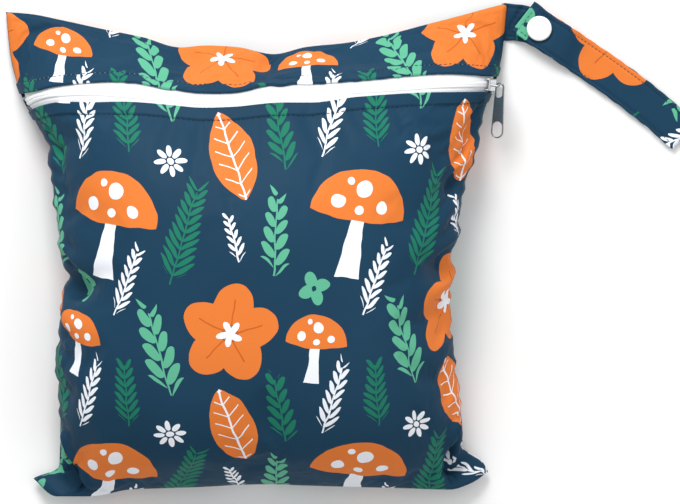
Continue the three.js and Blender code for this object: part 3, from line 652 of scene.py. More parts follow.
def print_colour(tree, cloth):
    """The print: each colour's motifs over the navy ground."""
    cap, cap_white = toadstool(tree, cloth, 42, 119, -11, 1.0)
    small_cap, small_white = toadstool(tree, cloth, 16, 44, -7, 0.62)
    leaf, veins = broad_leaf(tree, cloth, 118, 159, 17, 58, 27)
    bloom, bloom_veins = blossom(tree, cloth, 116, 52, 9, 5, 5, 30, 26)
    layers = [
        (MINT, [
            sprig(tree, cloth, 74, 38, 16, 50, 10.5, 16, 6.6, 46),
            sprig(tree, cloth, 144, 107, -3, 46, 9.5, 13, 5.6, 48),
            blossom(tree, cloth, 15, 76, 20, 4, 1.5, 10, 8)[0],
        ]),
        (GREEN, [
            sprig(tree, cloth, 88, 109, -15, 60, 5.6, 16, 3.0, 44, 0),
            sprig(tree, cloth, 147, 1, 9, 44, 8.0, 14, 4.2, 42),
            sprig(tree, cloth, 53, 10, 4, 40, 5.4, 13, 2.8, 44, 0),
        ]),
        (ORANGE, [cap, small_cap, leaf, bloom]),
        (DEEP_ORANGE, [bloom_veins]),
        (WHITE, [
            cap_white,
            small_white,
            veins,
            blossom(tree, cloth, 116, 52, 45, 5, 1, 8, 4, 3)[0],
            sprig(tree, cloth, 52, 78, -22, 40, 5.8, 11, 2.5, 40),
            sprig(tree, cloth, 26, 8, -16, 44, 6.6, 12, 2.8, 38),
            blossom(tree, cloth, 80, 155, 10, 8, 3, 10, 3.4, 2.2)[0],
            sprig(tree, cloth, 119, 108, 14, 28, 5.4, 8, 2.2, 42),
        ]),
    ]
    dye = add(
        tree, "TexNoise", cloth, named={"Scale": 0.012, "Detail": 2.0}, noise_dimensions="2D"
    )
    colour = shaded(tree, dye, linear(NAVY), linear(DEEP_NAVY))
    for ink, motifs in layers:
        mask = motifs[0]
        for other in motifs[1:]:
            mask = add(tree, "Math", mask, other, operation="MAXIMUM")
        colour = shaded(tree, mask, colour, linear(ink))
    return colour


printed, tree, surface = finish_named("printed_laminated_polyester")
on_map = add(tree, "UVMap", uv_map="cloth")
cloth_mm = add(tree, "VectorMath", on_map, named={"Scale": 1000.0}, operation="SCALE")
# A hand-drawn waver in the outlines of the motifs, about a millimetre.
waver = add(
    tree, "TexNoise", cloth_mm, named={"Scale": 0.07, "Detail": 1.0}, noise_dimensions="2D", out=1
)
waver = add(tree, "VectorMath", waver, (0.5, 0.5, 0.5), operation="SUBTRACT")
waver = add(tree, "VectorMath", waver, named={"Scale": 2.4}, operation="SCALE")
drawn = add(tree, "VectorMath", cloth_mm, waver, operation="ADD")
drawn = add(tree, "VectorMath", drawn, (1, 1, 0), operation="MULTIPLY")
tree.links.new(print_colour(tree, drawn), surface.inputs["Base Color"])
ribs = add(
    tree,
    "TexWave",
    cloth_mm,
    named={"Scale": math.tau / RIB / 20, "Distortion": 1.6, "Detail": 2.0},
    wave_type="BANDS",
    bands_direction="X",
    out=1,
)
grain = add(tree, "TexNoise", cloth_mm, named={"Scale": 0.9, "Detail": 3.0}, noise_dimensions="2D")
fine = add(tree, "Math", grain, 1.2, ribs, operation="MULTIPLY_ADD")
bump = add(tree, "Bump", named={"Strength": 0.10, "Distance": 0.0003, "Height": fine})
tree.links.new(bump, surface.inputs["Normal"])
surface.inputs["Roughness"].default_value = 0.5
surface.inputs["IOR"].default_value = 1.5
surface.inputs["Specular IOR Level"].default_value = 0.06

# The three panels of the bag, cut from the printed cloth. The edges beside the zip are folded
# under and stitched down, so they stand a little proud; the others meet in the side, top and
# bottom seams.
HEM = 6.8  # from the folded edge to its row of stitches
HEM_HEIGHT = 0.9
LIP_ROUND = 0.9
HEM_ROWS = 9.6  # from the folded edge to where its own finer rows begin
CLOTH_SHOWN = 0.5  # the shown cloth's own thickness
PRINT_SHIFT = {"bag_front": (-0.02, 0.097), "bag_band": (-0.016, 0.082), "bag_back": (0.04, 0.07)}


def hem_height(distance):
    """How far the folded edge stands off the cloth, by the distance from the fold."""
    swell = HEM_HEIGHT * (1 - ramp(distance, HEM - 0.2, HEM + 1.2))
    groove = 0.75 * np.exp(-(((distance - HEM) / 0.55) ** 2))
    edge = np.clip(1 - distance / LIP_ROUND, 0, 1)
    return swell - groove - (1 - np.sqrt(1 - edge**2)) * 1.1


def lay_print(mesh, place):
    """Writes each vertex's place on the cloth, in metres, to the map that the print reads."""
    corner = np.empty(len(mesh.loops), int)
    mesh.loops.foreach_get("vertex_index", corner)
    mesh.uv_layers.new(name="cloth").uv.foreach_set("vector", place[corner].ravel())


def smooth_all(mesh):
    mesh.polygons.foreach_set("use_smooth", [True] * len(mesh.polygons))


def give_wall(piece, thickness):
    """Thickens a sheet inwards."""
    wall = piece.modifiers.new("wall", "SOLIDIFY")
    wall.thickness = thickness / 1000
    wall.offset = -1


def laid(name, columns, rows, face, height, shift):
    """A piece of cloth over the settled form, with its own print's place on it."""
    mesh, i, j = grid_of(columns, rows, name)
    u, v = columns[i], rows[j] if face < 0 else drawn_back(columns[i], rows[j])
    points, _, run = on_cloth(u, v, face, height[j])
    move_points(mesh, points)
    lay_print(mesh, np.stack([face * run / 1000, v * CLOTH_LENGTH / 1000], 1) + shift)
    if face < 0:
        mesh.flip_normals()
    smooth_all(mesh)
    return placed(name, mesh)


def hemmed(rows, lip):
    """The rows with the turned edge: its distances, and the fold under it."""
    side = 1 if lip == LOWER_LIP else -1
    distance = np.concatenate([np.linspace(9, LIP_ROUND, 22), [0.6, 0.35, 0.15, 0.04, 0]])
    under = np.array([0.05, 0.4, 1.5, 4.0])
    body = lip - side * distance / CLOTH_LENGTH
    back = lip - side * under / CLOTH_LENGTH
    heights = [np.zeros(len(rows)), hem_height(distance), np.array([-0.75, -1.05, -1.15, -1.15])]
    return np.concatenate([rows, body, back]), np.concatenate(heights)


COLUMNS = squeezed_steps(-1, 1, 190, 0.5)
lower_edge, upper_edge = LOWER_LIP - HEM_ROWS / CLOTH_LENGTH, UPPER_LIP + HEM_ROWS / CLOTH_LENGTH
front_rows, front_height = hemmed(squeezed_steps(0, lower_edge, 150, 0.4), LOWER_LIP)
band_rows, band_height = hemmed(squeezed_steps(1, upper_edge, 34, 0.3), UPPER_LIP)
back_rows = squeezed_steps(0, 1, 170, 0.35)
panels = {
    "bag_front": (front_rows, 1, front_height, "front_panel"),
    "bag_band": (band_rows[::-1], 1, band_height[::-1], "top_band"),
    "bag_back": (back_rows, -1, np.zeros(len(back_rows)), "back_panel"),
}
for name, (rows, face, height, node) in panels.items():
    panel = laid(name, COLUMNS, rows, face, height, PRINT_SHIFT[name])
    give_wall(panel, CLOTH_SHOWN)
    panel.data.materials.append(printed)
    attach(panel, "bag")
    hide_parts(node)

# The zip: two white woven polyester tapes with a closed nylon coil between them, sewn under the
# folded edges from seam to seam. A white band of it shows, 10.8 mm wide at the seams.
TAPE_HIDDEN = 5
TAPE_WALL = 0.6
TAPE_LEVEL = -1.55
COIL_HALF = 2.9
COIL_RISE = 1.1
TOOTH = 1.3
SLIDER_ACROSS = 1 - 5.5 / HALF_WIDTH
ZIP_END = 0.993


def arc_columns(along, step):
    """Columns from seam to seam that lie evenly along a row of the cloth."""
    fine = np.linspace(-ZIP_END, ZIP_END, 2000)
    points = on_cloth(fine, np.full(2000, along))[0]
    run = np.concatenate([[0], np.cumsum(np.linalg.norm(np.diff(points, axis=0), axis=1))])
    count = int(run[-1] / step)
    return np.interp(np.linspace(0, run[-1], count + 1), run, fine), run[-1]


woven_tape, tree, surface = finish_named("woven_white_zip_tape")
on_map = add(tree, "UVMap", uv_map="cloth")
tape_mm = add(tree, "VectorMath", on_map, named={"Scale": 1000.0}, operation="SCALE")
# Herringbone of the weave, 0.7 mm a thread, drawn at 1.1 mm so that it shows.
weave = add(
    tree,
    "TexWave",
    tape_mm,
    named={"Scale": math.tau / 1.1 / 20, "Distortion": 1.5},
    wave_type="BANDS",
    bands_direction="DIAGONAL",
    out=1,
)
tint = shaded(tree, weave, linear("#d9dbdf"), linear("#ececee"))
tree.links.new(tint, surface.inputs["Base Color"])
bump = add(tree, "Bump", named={"Strength": 0.3, "Distance": 0.0002, "Height": weave})
tree.links.new(bump, surface.inputs["Normal"])
surface.inputs["Roughness"].default_value = 0.7

for name, side, node in (("tape_upper", 1, "zip_tape_upper"), ("tape_lower", -1, "zip_tape_lower")):
    columns, _ = arc_columns(ZIP_ALONG, 2.0)
    offset = np.linspace(0.2, ZIP_OPENING / 2 + TAPE_HIDDEN, 14)[::side]
    rows = ZIP_ALONG + side * offset / CLOTH_LENGTH
    # The tape is gathered a little by the stitches, so its free part is not quite flat.
    tape = laid(name, columns, rows, 1, TAPE_LEVEL + 0.15 * np.sin(offset * 2.1), (0, 0))
    give_wall(tape, TAPE_WALL)
    tape.data.materials.append(woven_tape)
    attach(tape, "bag")
    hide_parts(node)

# Drawn nylon: a soft gloss, a little cloudy every few millimetres.
nylon, _, surface, _ = mottled_finish("white_nylon_coil", 220.0, 2.0, "#dfe1e4", "#ededee")
surface.inputs["Roughness"].default_value = 0.42
surface.inputs["IOR"].default_value = 1.53

columns, coil_run = arc_columns(ZIP_ALONG, TOOTH / 5)
across_coil = np.linspace(-1, 1, 15)
mesh, i, j = grid_of(columns, across_coil, "coil")
u, side = columns[i], across_coil[j]
turns = i / (len(columns) - 1) * coil_run / TOOTH
# The turns of the two sides lie between each other, half a tooth apart.
tooth = np.cos(math.tau * (turns + np.where(side > 0, 0.5, 0)))
hump = np.sqrt(np.clip(1 - np.abs(side) ** 3, 0, 1))
groove = np.exp(-((side / 0.10) ** 2))
height = TAPE_LEVEL - 0.1 + COIL_RISE * hump * (1 + 0.13 * tooth) - 0.35 * groove
points, _, _ = on_cloth(u, ZIP_ALONG + side * COIL_HALF / CLOTH_LENGTH, 1, height)
move_points(mesh, points)
smooth_all(mesh)
mesh.materials.append(nylon)
coil = placed("coil", mesh)
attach(coil, "bag")
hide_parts("zip_coil")

# The sewing: navy polyester thread, about three stitches to a centimetre, along both folded
# edges. Small pale dots show between the stitches of the upper row.
STITCH = 3.0
THREAD = 0.42


def sew(name, points, normals, thread, length=STITCH * 0.78, thick=THREAD, pitch=STITCH, sink=0.0):
    """A row of stitches along a line on the cloth, as one piece."""
    run = np.concatenate([[0], np.cumsum(np.linalg.norm(np.diff(points, axis=0), axis=1))])
    count = int(run[-1] / pitch)
    bm = bmesh.new()
    for middle in (np.arange(count) + 0.5) * run[-1] / count:
        at = Vector([np.interp(middle, run, points[:, k]) for k in range(3)])
        ahead = Vector([np.interp(middle + 0.5, run, points[:, k]) for k in range(3)])
        behind = Vector([np.interp(middle - 0.5, run, points[:, k]) for k in range(3)])
        up = Vector([np.interp(middle, run, normals[:, k]) for k in range(3)]).normalized()
        over = (ahead - behind).normalized()
        side = up.cross(over).normalized()
        up = over.cross(side)
        turn = Matrix((over, side, up)).transposed().to_4x4()
        size = Matrix.Diagonal((length / 2, thick / 2, thick / 2, 1))
        spot = Matrix.Translation(at + up * (thick * 0.15 - sink))
        shape = Matrix.Scale(0.001, 4) @ spot @ turn @ size
        bmesh.ops.create_uvsphere(bm, u_segments=7, v_segments=5, radius=1, matrix=shape)
    mesh = made(bm, name, thread)
    smooth_all(mesh)
    row = placed(name, mesh)
    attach(row, "bag")


def thread_finish(name, dark, light):
    """Spun polyester thread: twisted plies, 0.4 mm, with a soft shine."""
    finish, _, surface, _ = mottled_finish(name, 900.0, 2.0, dark, light)
    surface.inputs["Roughness"].default_value = 0.6
    surface.inputs["Specular IOR Level"].default_value = 0.25
    return finish


navy_thread = thread_finish("navy_polyester_thread", "#10202f", "#1d3347")
pale_dot_finish = thread_finish("pale_dots_between_stitches", "#8195a8", "#a9b9c7")
u = np.linspace(-0.986, 0.986, 700)
for name, lip, side in (("hem_stitches_lower", LOWER_LIP, -1), ("hem_stitches_upper", UPPER_LIP, 1)):
    height = hem_height(np.full(len(u), HEM)) + 0.25
    v = drawn_back(u, np.full(len(u), lip + side * HEM / CLOTH_LENGTH))
    line, normals, _ = on_cloth(u, v, 1, height)
    sew(name, line, normals, navy_thread)
    if side > 0:
        dots, normals = line[20:-20], normals[20:-20]
        sew(name + "_dots", dots, normals, pale_dot_finish, length=0.6, thick=0.46, sink=0.08)

# The slider: a small zinc casting, nickel plated, with two plates joined by a wedge, side flanges
# and a bridge for the pull. It stands at the closed end of the zip, by the right side seam.
zip_u = np.array([SLIDER_ACROSS - STEP, SLIDER_ACROSS, SLIDER_ACROSS + STEP])
zip_v = np.full(3, ZIP_ALONG)
off_cloth = Vector(outward(bag_point, zip_u, zip_v, 1)[1])
zip_line = bag_point(zip_u, zip_v, 1)
along_zip = Vector(zip_line[2] - zip_line[0])
along_zip = (along_zip - off_cloth * along_zip.dot(off_cloth)).normalized()
up_bag = off_cloth.cross(along_zip)
slider_turn = Matrix((along_zip, up_bag, off_cloth)).transposed().to_4x4()
slider_place = Matrix.Scale(0.001, 4) @ Matrix.Translation(zip_line[1]) @ slider_turn

PLATE_BASE, PLATE_TOP = 0.8, 1.9
UNDER_TOP = -3.4
HALF_LONG, HALF_BROAD = 4.8, 3.8
BRIDGE_BAR, BRIDGE_CLEAR, BRIDGE_LEG = 1.4, 4.6, 4.0
BAR_MIDDLE = PLATE_TOP + BRIDGE_CLEAR


def plated_finish(name, dark, light, smooth, rough):
    """Plated zinc, tumbled before plating: fine scuffs under a millimetre make the gloss uneven."""
    finish, tree, surface, scuffs = mottled_finish(name, 1100.0, 3.0, dark, light)
    gloss = add(tree, "MapRange", scuffs, 0.3, 0.7, smooth, rough)
    tree.links.new(gloss, surface.inputs["Roughness"])
    surface.inputs["Metallic"].default_value = 1.0
    return finish


nickel = plated_finish("nickel_plated_zinc", "#cfd3d6", "#e3e5e7", 0.22, 0.38)


def cast_block(bm, low, high, rounding):
    """A block of the casting with its edges rounded."""
    size = Vector(high) - Vector(low)
    middle = (Vector(high) + Vector(low)) / 2
    shape = Matrix.Translation(middle) @ Matrix.Diagonal((*size, 1))
    block = bmesh.ops.create_cube(bm, size=1, matrix=shape)["verts"]
    edges = list({e for v in block for e in v.link_edges})
    bmesh.ops.bevel(
        bm,
        geom=edges,
        offset=rounding,
        segments=3,
        profile=0.5,
        affect="EDGES",
        material=-1,
        clamp_overlap=True,
    )


bm = bmesh.new()
for low, high, rounding in (
    ((-HALF_LONG, -HALF_BROAD, PLATE_BASE), (HALF_LONG, HALF_BROAD, PLATE_TOP), 0.45),
    ((-HALF_LONG, -HALF_BROAD, -1.2), (HALF_LONG, -2.7, PLATE_TOP), 0.45),
    ((-HALF_LONG, 2.7, -1.2), (HALF_LONG, HALF_BROAD, PLATE_TOP), 0.45),
    ((1.2, -1.3, UNDER_TOP - 1.1), (HALF_LONG, 1.3, PLATE_TOP), 0.3),
    ((-HALF_LONG, -HALF_BROAD, UNDER_TOP - 1.1), (HALF_LONG, HALF_BROAD, UNDER_TOP), 0.45),
    ((-BRIDGE_LEG, -0.7, PLATE_BASE), (-BRIDGE_LEG + BRIDGE_BAR, 0.7, BAR_MIDDLE + 0.7), 0.55),
    ((BRIDGE_LEG - BRIDGE_BAR, -0.7, PLATE_BASE), (BRIDGE_LEG, 0.7, BAR_MIDDLE + 0.7), 0.55),
    ((-BRIDGE_LEG, -0.7, BAR_MIDDLE - 0.7), (BRIDGE_LEG, 0.7, BAR_MIDDLE + 0.7), 0.55),
):
    cast_block(bm, low, high, rounding)
bm.transform(slider_place)
slider = placed("slider", made(bm, "slider", nickel))
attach(slider, "bag")
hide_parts("zip_slider")

# The pull: a die-cast tab with a window for the bridge and an oval finger hole. Its faces are
# plated a dark gunmetal, and its bevelled rim is painted lighter, a painted highlight. It swings on
# the bridge's bar.
PULL_LENGTH = 33.5
PULL_TOP, PULL_END = 5.6, 7.8
PULL_THICK = 1.2
PULL_DROOP = 5
TOP_RIM, SIDE_RIM, END_RIM = 1.0, 0.9, 0.8
WINDOW_TOP = BRIDGE_BAR / math.sqrt(2) + GAP


def rounded_slot(bm, top_radius, top, end_radius, end, steps=14):
    """A closed outline of two half circles, joined by straight sides, across X and along Y."""
    corners = []
    for radius, y, start in ((top_radius, top - top_radius, 0), (end_radius, end + end_radius, 180)):
        for k in range(steps + 1):
            a = math.radians(start + 180 * k / steps)
            corners.append(bm.verts.new((radius * math.cos(a), y + radius * math.sin(a), 0)))
    for k, corner in enumerate(corners):
        bm.edges.new((corners[k - 1], corner))


gunmetal = plated_finish("gunmetal_plated_zinc", "#485862", "#5c6d78", 0.30, 0.48)
# The rim's lighter gunmetal is a painted highlight, where the bevel would catch the light.
rim_painted_highlight = plated_finish("gunmetal_rim_painted_highlight", "#7e878d", "#989fa4", 0.24, 0.38)

bm = bmesh.new()
top, end = WINDOW_TOP + TOP_RIM, WINDOW_TOP + TOP_RIM - PULL_LENGTH
rounded_slot(bm, PULL_TOP / 2, top, PULL_END / 2, end)
window, finger = PULL_TOP / 2 - SIDE_RIM, PULL_END / 2 - END_RIM
rounded_slot(bm, window, WINDOW_TOP, window, WINDOW_TOP - 8)
rounded_slot(bm, finger, end + END_RIM + 9.2, finger, end + END_RIM)
bmesh.ops.triangle_fill(bm, use_beauty=True, use_dissolve=False, edges=bm.edges)
raised = bmesh.ops.extrude_face_region(bm, geom=bm.faces[:])
lifted = [v for v in raised["geom"] if isinstance(v, bmesh.types.BMVert)]
bmesh.ops.translate(bm, verts=lifted, vec=(0, 0, PULL_THICK))
bmesh.ops.translate(bm, verts=bm.verts, vec=(0, 0, -PULL_THICK / 2))
bmesh.ops.recalc_face_normals(bm, faces=bm.faces)
rims = [e for e in bm.edges if len(e.link_faces) == 2 and e.calc_face_angle() > 1.2]
bmesh.ops.bevel(
    bm, geom=rims, offset=0.28, segments=3, profile=0.5, affect="EDGES", material=-1
)
bm.normal_update()
# The rim and bevel faces take the lighter gunmetal, a painted highlight; the flat faces take the
# dark one.
for f in bm.faces:
    f.material_index = 0 if abs(f.normal.z) > 0.98 else 1
    f.smooth = abs(f.normal.z) < 0.98
lean = Matrix.Rotation(math.radians(-PULL_DROOP), 4, "X")
on_edge = Matrix.Rotation(math.radians(90), 4, "Y")
bm.transform(slider_place @ Matrix.Translation((0, 0, BAR_MIDDLE)) @ lean @ on_edge)
pull = placed("pull", made(bm, "pull", gunmetal, rim_painted_highlight))
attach(pull, "pull")
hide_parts("zip_pull")

# The wrist strap: the same cloth folded to 22 mm, topstitched along both edges, doubled back on
# itself into a loop. Its lower run is sewn into the right side seam; its free end lies over the
# lower run and carries the snap.
STRAP_WIDTH = 22
STRAP_THICK = 1.8
STRAP_REACH = 126
RUN_GAP = 0.6
SNAP_SIZE = 15
SNAP_BACK, SNAP_CORE = 1.6, 4.0
LOWER_RUN = [
    (0.000, 0.000), (0.050, -0.003), (0.100, -0.014), (0.160, -0.038), (0.239, -0.088),
    (0.383, -0.185), (0.530, -0.287), (0.675, -0.398), (0.830, -0.531),
]
UPPER_RUN = [
    (0.830, -0.531), (0.675, -0.398), (0.530, -0.287), (0.383, -0.184), (0.239, -0.087),
    (0.150, -0.029), (0.074, 0.030),
]
SNAP_OUT, SNAP_UP = 0.150, -0.030
STRAP_ROOT = 0.962
LOWER_LIFT = SNAP_BACK + GAP
CORE_TOP = LOWER_LIFT + STRAP_THICK + GAP + SNAP_CORE
UPPER_LIFT = CORE_TOP + GAP
CAP_BASE = UPPER_LIFT + STRAP_THICK + GAP
STITCH_IN = 2.5  # from the strap's edges to their stitches
SEWN_IN = 4  # of the strap inside the side seam
END_HEM = 3.2  # from the strap's free end to the stitches across it
STITCH_SHARE = 0.55  # how far the stitches draw the faces together
END_GROOVE = 0.75

v = np.arange(0.85, 1.0001, 0.005)
seam_side = bag_point(np.ones(len(v)), v, 1)
root_y = bag_point(np.array([1.0]), np.array([STRAP_ROOT]), 1)[0, 1]
beside = np.abs(seam_side[:, 1] - root_y) <= STRAP_WIDTH / 2 + 2
root_x = seam_side[beside, 0].max() + GAP
snap_place = np.array([root_x + SNAP_OUT * STRAP_REACH, root_y + SNAP_UP * STRAP_REACH])


def smooth_run(rows, count):
    """Even places along a smooth curve through the rows, in plan."""
    knots = np.array(rows) * STRAP_REACH + (root_x, root_y)
    spans = np.linalg.norm(np.diff(knots, axis=0), axis=1) ** 0.5
    at = np.concatenate([[0], np.cumsum(spans)])
    slope = np.gradient(knots, at, axis=0)
    t = np.linspace(0, at[-1], 600)
    i = np.clip(np.searchsorted(at, t) - 1, 0, len(at) - 2)
    h = (at[i + 1] - at[i])[:, None]
    s = ((t - at[i]) / (at[i + 1] - at[i]))[:, None]
    fine = (
        knots[i] * (2 * s**3 - 3 * s**2 + 1)
        + knots[i + 1] * (3 * s**2 - 2 * s**3)
        + slope[i] * h * (s**3 - 2 * s**2 + s)
        + slope[i + 1] * h * (s**3 - s**2)
    )
    run = np.concatenate([[0], np.cumsum(np.linalg.norm(np.diff(fine, axis=0), axis=1))])
    even = np.linspace(0, run[-1], count + 1)
    return np.stack([np.interp(even, run, fine[:, 0]), np.interp(even, run, fine[:, 1])], 1)


def run_stations(rows, count, high, low, inner):
    """The strap's middle line with, at each place, its side and the way to the loop's inside."""
    plan = smooth_run(rows, count)
    away = np.linalg.norm(plan - snap_place, axis=1)
    drop = ramp(away, 0.75 * SNAP_SIZE, 2.25 * SNAP_SIZE)
    level = np.where(plan[:, 0] > snap_place[0], mix(high, low, drop), high)
    ahead = np.gradient(plan, axis=0)
    ahead /= np.linalg.norm(ahead, axis=1, keepdims=True)
    middle = np.column_stack([plan, level + STRAP_THICK / 2])
    side = np.column_stack([ahead[:, 1], -ahead[:, 0], np.zeros(len(plan))]) * inner
    return middle, side, np.tile([0, 0, float(inner)], (len(plan), 1)), ahead


lower = list(run_stations(LOWER_RUN, 90, LOWER_LIFT, 0, 1))
# The lower run starts inside the seam, a little lower than where it lies on the snap.
inside = lower[0][0] - np.outer([SEWN_IN, SEWN_IN / 2], [*lower[3][0], 0])
for k, more in enumerate((inside, *(np.tile(part[0], (2, 1)) for part in lower[1:]))):
    lower[k] = np.concatenate([more, lower[k]])
lower[0][:, 2] -= 1.0 * (1 - ramp(np.arange(len(lower[0])), 2, 9))
upper = run_stations(UPPER_RUN, 84, UPPER_LIFT, STRAP_THICK + RUN_GAP, -1)
fold_radius = (STRAP_THICK + RUN_GAP) / 2
fold_ahead = np.array([*lower[3][-1], 0])
fold_centre = lower[0][-1] + [0, 0, fold_radius]
turns = np.radians(np.arange(-75, 76, 15))[:, None]
fold_out = np.cos(turns) * fold_ahead + np.sin(turns) * np.array([0, 0, 1])
fold_side = np.tile(np.cross(fold_ahead, [0, 0, 1]), (len(turns), 1))
strap_line = np.concatenate([lower[0], fold_centre + fold_out * fold_radius, upper[0]])
strap_side = np.concatenate([lower[1], fold_side, upper[1]])
strap_inner = np.concatenate([lower[2], -fold_out, upper[2]])
strap_run = np.concatenate(
    [[0], np.cumsum(np.linalg.norm(np.diff(strap_line, axis=0), axis=1))]
)


def strap_section(flat_steps, edge_steps):
    """Places round the strap's section, evenly over its faces and round its folded edges."""
    half, rise = STRAP_WIDTH / 2, STRAP_THICK / 2
    over = np.linspace(half - rise, rise - half, flat_steps + 1)
    bend = np.linspace(math.pi / 2, 3 * math.pi / 2, edge_steps + 2)[1:-1]
    edge = np.stack([rise - half + rise * np.cos(bend), rise * np.sin(bend)], 1)
    top = np.stack([over, np.full(len(over), rise)], 1)
    ring = np.concatenate([top, edge, -top, -edge, top[:1]])
    stitched = np.exp(-(((half - np.abs(ring[:, 0]) - STITCH_IN) / 0.7) ** 2))
    middle = np.exp(-((ring[:, 0] / half / 0.55) ** 2))
    ring[:, 1] *= (1 - STITCH_SHARE * stitched) * (1 - 0.16 * middle)
    return ring[:, 0], ring[:, 1]


section_side, section_rise = strap_section(26, 5)
AROUND = len(section_side) - 1
STRAP_PRINT = (0.070, 0.073)  # where the print lies on the strap
stations = np.arange(len(strap_line), dtype=float)
mesh, i, j = grid_of(np.arange(AROUND + 1.0), stations, "wrist_strap_cloth")
to_snap = np.linalg.norm(strap_line[:, :2] - snap_place, axis=1)


def buckled(j, side):
    """Folds across the strap: its stitched free end, its gathers at the seam, and by the snap."""
    gathered = END_GROOVE * np.exp(-(((strap_run[-1] - strap_run[j] - END_HEM) / 0.55) ** 2))
    for deep, middle, slant, width in (
        (-2.0, 7.2, 0.45, 0.8),
        (-1.8, 10.6, 0.62, 0.7),
        (-1.2, 14.2, 0.70, 0.8),
        (-0.8, 5.2, 0.05, 0.6),
        (0.7, 8.9, 0.55, 0.9),
    ):
        off = (strap_run[j] + side * slant - middle) / width
        gathered = gathered + deep * np.exp(-(off**2))
    beside = 0.55 * np.sin((strap_run[j] + side * 0.35) * 0.42) * ramp(to_snap[j], 9, 15)
    return gathered + beside * np.exp(-to_snap[j] / 26)


section_width = 1 + 0.016 * np.sin(0.23 * strap_run + 1) + 0.012 * np.sin(0.61 * strap_run)
side = section_side[i] * section_width[j]
points = strap_line[j] + strap_side[j] * side[:, None]
points = points + strap_inner[j] * (section_rise[i] + buckled(j, side))[:, None]
# The cap presses the cloth into a shallow dish round itself.
from_cap = np.linalg.norm(points[:, :2] - snap_place, axis=1)
dish = 0.55 * np.exp(-(((from_cap - SNAP_SIZE / 2) / 2.2) ** 2))
on_upper = j >= len(lower[0]) + len(turns)
points[:, 2] -= np.where(on_upper & (section_rise[i] < 0), dish, 0)
points[:, 2] = np.maximum(points[:, 2], 0)
move_points(mesh, points)
lay_print(mesh, np.stack([strap_run[j] / 1000, section_side[i] / 1000], 1) + STRAP_PRINT)
bm = bmesh.new()
bm.from_mesh(mesh)
bmesh.ops.remove_doubles(bm, verts=bm.verts, dist=1e-6)
bmesh.ops.holes_fill(bm, edges=[e for e in bm.edges if e.is_boundary], sides=0)
bmesh.ops.recalc_face_normals(bm, faces=bm.faces)
bm.to_mesh(mesh)
bm.free()
mesh.polygons.foreach_set("use_smooth", [len(p.vertices) < 5 for p in mesh.polygons])
mesh.materials.append(printed)
strap = placed("strap", mesh)
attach(strap, "bag")
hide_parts("wrist_strap")

upper_first = len(lower[0]) + len(turns)
for name, side in (("strap_stitches_left", -1), ("strap_stitches_right", 1)):
    line = upper[0] + upper[1] * side * (STRAP_WIDTH / 2 - STITCH_IN)
    sunk = buckled(upper_first + np.arange(len(line)), side * (STRAP_WIDTH / 2 - STITCH_IN))
    line = line - upper[2] * (STRAP_THICK / 2 * STITCH_SHARE - sunk)[:, None]
    sew(name, line[2:-3], -upper[2][2:-3], navy_thread, pitch=2.6, length=2.0)
end = int(np.searchsorted(strap_run, strap_run[-1] - END_HEM)) - upper_first
line = upper[0][end] + np.outer(np.linspace(-8.4, 8.4, 30), upper[1][end])
line[:, 2] += STRAP_THICK / 2 - END_GROOVE
sew("strap_stitches_end", line, np.tile([0.0, 0, 1], (30, 1)), navy_thread, pitch=2.6, length=2.0)

# The snap: moulded acetal, glossy white. The cap shows on the free end, with a rounded rim round
# a shallow dish. Its other cap is under the lower run.
acetal, _, surface, _ = mottled_finish("white_moulded_acetal", 160.0, 1.0, "#f1f2f2", "#fafafa")
surface.inputs["Roughness"].default_value = 0.28
surface.inputs["IOR"].default_value = 1.48


def spun(name, profile):
    """A round piece from its radius and height, turned about the snap's upright axis."""
    bm = bmesh.new()
    corners = [bm.verts.new((r, 0, z)) for r, z in profile]
    line = [bm.edges.new(pair) for pair in zip(corners, corners[1:])]
    bmesh.ops.spin(
        bm,
        geom=corners + line,
        cent=(0, 0, 0),
        axis=(0, 0, 1),
        angle=math.tau,
        steps=56,
        use_merge=True,
    )
    bmesh.ops.remove_doubles(bm, verts=bm.verts, dist=1e-5)
    bmesh.ops.recalc_face_normals(bm, faces=bm.faces)
    bm.transform(Matrix.Scale(0.001, 4) @ Matrix.Translation((*snap_place, 0)))
    mesh = made(bm, name, acetal)
    smooth_all(mesh)
    piece = placed(name, mesh)
    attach(piece, "bag")
    return piece


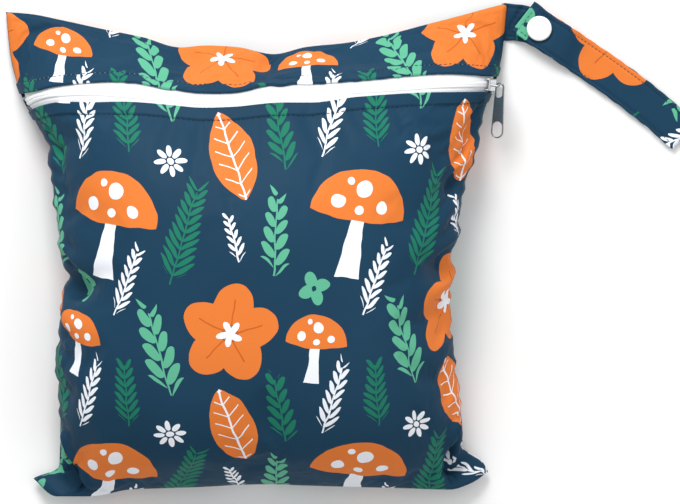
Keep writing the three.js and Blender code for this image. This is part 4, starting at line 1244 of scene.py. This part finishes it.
R = SNAP_SIZE / 2
cap = spun("snap_cap_moulded", [
    (0, UPPER_LIFT), (1.2, UPPER_LIFT), (1.2, CAP_BASE), (R - 0.5, CAP_BASE),
    (R - 0.15, CAP_BASE + 0.2), (R, CAP_BASE + 0.6), (R - 0.1, CAP_BASE + 1.05),
    (R - 0.45, CAP_BASE + 1.5), (R - 1.0, CAP_BASE + 1.8), (R - 1.6, CAP_BASE + 1.9),
    (R - 2.2, CAP_BASE + 1.8), (R - 2.9, CAP_BASE + 1.72), (2.2, CAP_BASE + 1.74),
    (0, CAP_BASE + 1.76),
])
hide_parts("snap_cap")
for node in ("snap_core", "snap_back"):
    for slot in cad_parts[node].material_slots:
        slot.material = acetal

# The surroundings: a plain pale floor, soft light from above and the bag's top side, and a camera
# that looks straight down at the bag.
floor_finish, _, surface, _ = mottled_finish("pale_floor", 6.0, 2.0, "#ececec", "#f1f1f1")
surface.inputs["Roughness"].default_value = 0.9
bm = bmesh.new()
bmesh.ops.create_grid(bm, x_segments=2, y_segments=2, size=3)
floor = placed("floor", made(bm, "floor", floor_finish))
floor.location.z = -0.0005

world = bpy.data.worlds.new("studio")
world.use_nodes = True
tree = world.node_tree
sky = add(tree, "SeparateXYZ", add(tree, "TexCoord")).node.outputs
# Brighter on the side of the bag's top edge, as beside a window, and dimmer near the floor.
toward = add(tree, "MapRange", sky[1], -1, 1, 0.5, 1.0)
height = add(tree, "MapRange", sky[2], 0, 1, 0.58, 1.12)
strength = add(tree, "Math", toward, height, operation="MULTIPLY")
tree.links.new(strength, tree.nodes["Background"].inputs["Strength"])
tree.nodes["Background"].inputs["Color"].default_value = (1, 1, 1, 1)
bpy.context.scene.world = world
bpy.context.scene.view_settings.view_transform = "Standard"

for name, place, size, power in (
    ("key", (-0.25, 1.15, 1.15), 0.7, 20),
    ("fill", (0.7, -0.6, 1.1), 1.2, 3),
):
    light = bpy.data.lights.new(name, "AREA")
    light.size = size
    light.energy = power
    lamp = placed(name, light)
    lamp.location = place
    aim = Vector((0.03, 0.02, 0)) - Vector(place)
    lamp.rotation_euler = aim.to_track_quat("-Z", "Y").to_euler()

VIEW_CENTRE = (0.0504, 0.0228)  # the middle of the picture
VIEW_WIDTH = 0.408
camera = bpy.data.cameras.new("camera")
camera.type = "ORTHO"
camera.ortho_scale = VIEW_WIDTH
camera.clip_end = 10
eye = placed("camera", camera)
eye.location = (*VIEW_CENTRE, 1.5)
bpy.context.scene.camera = eye
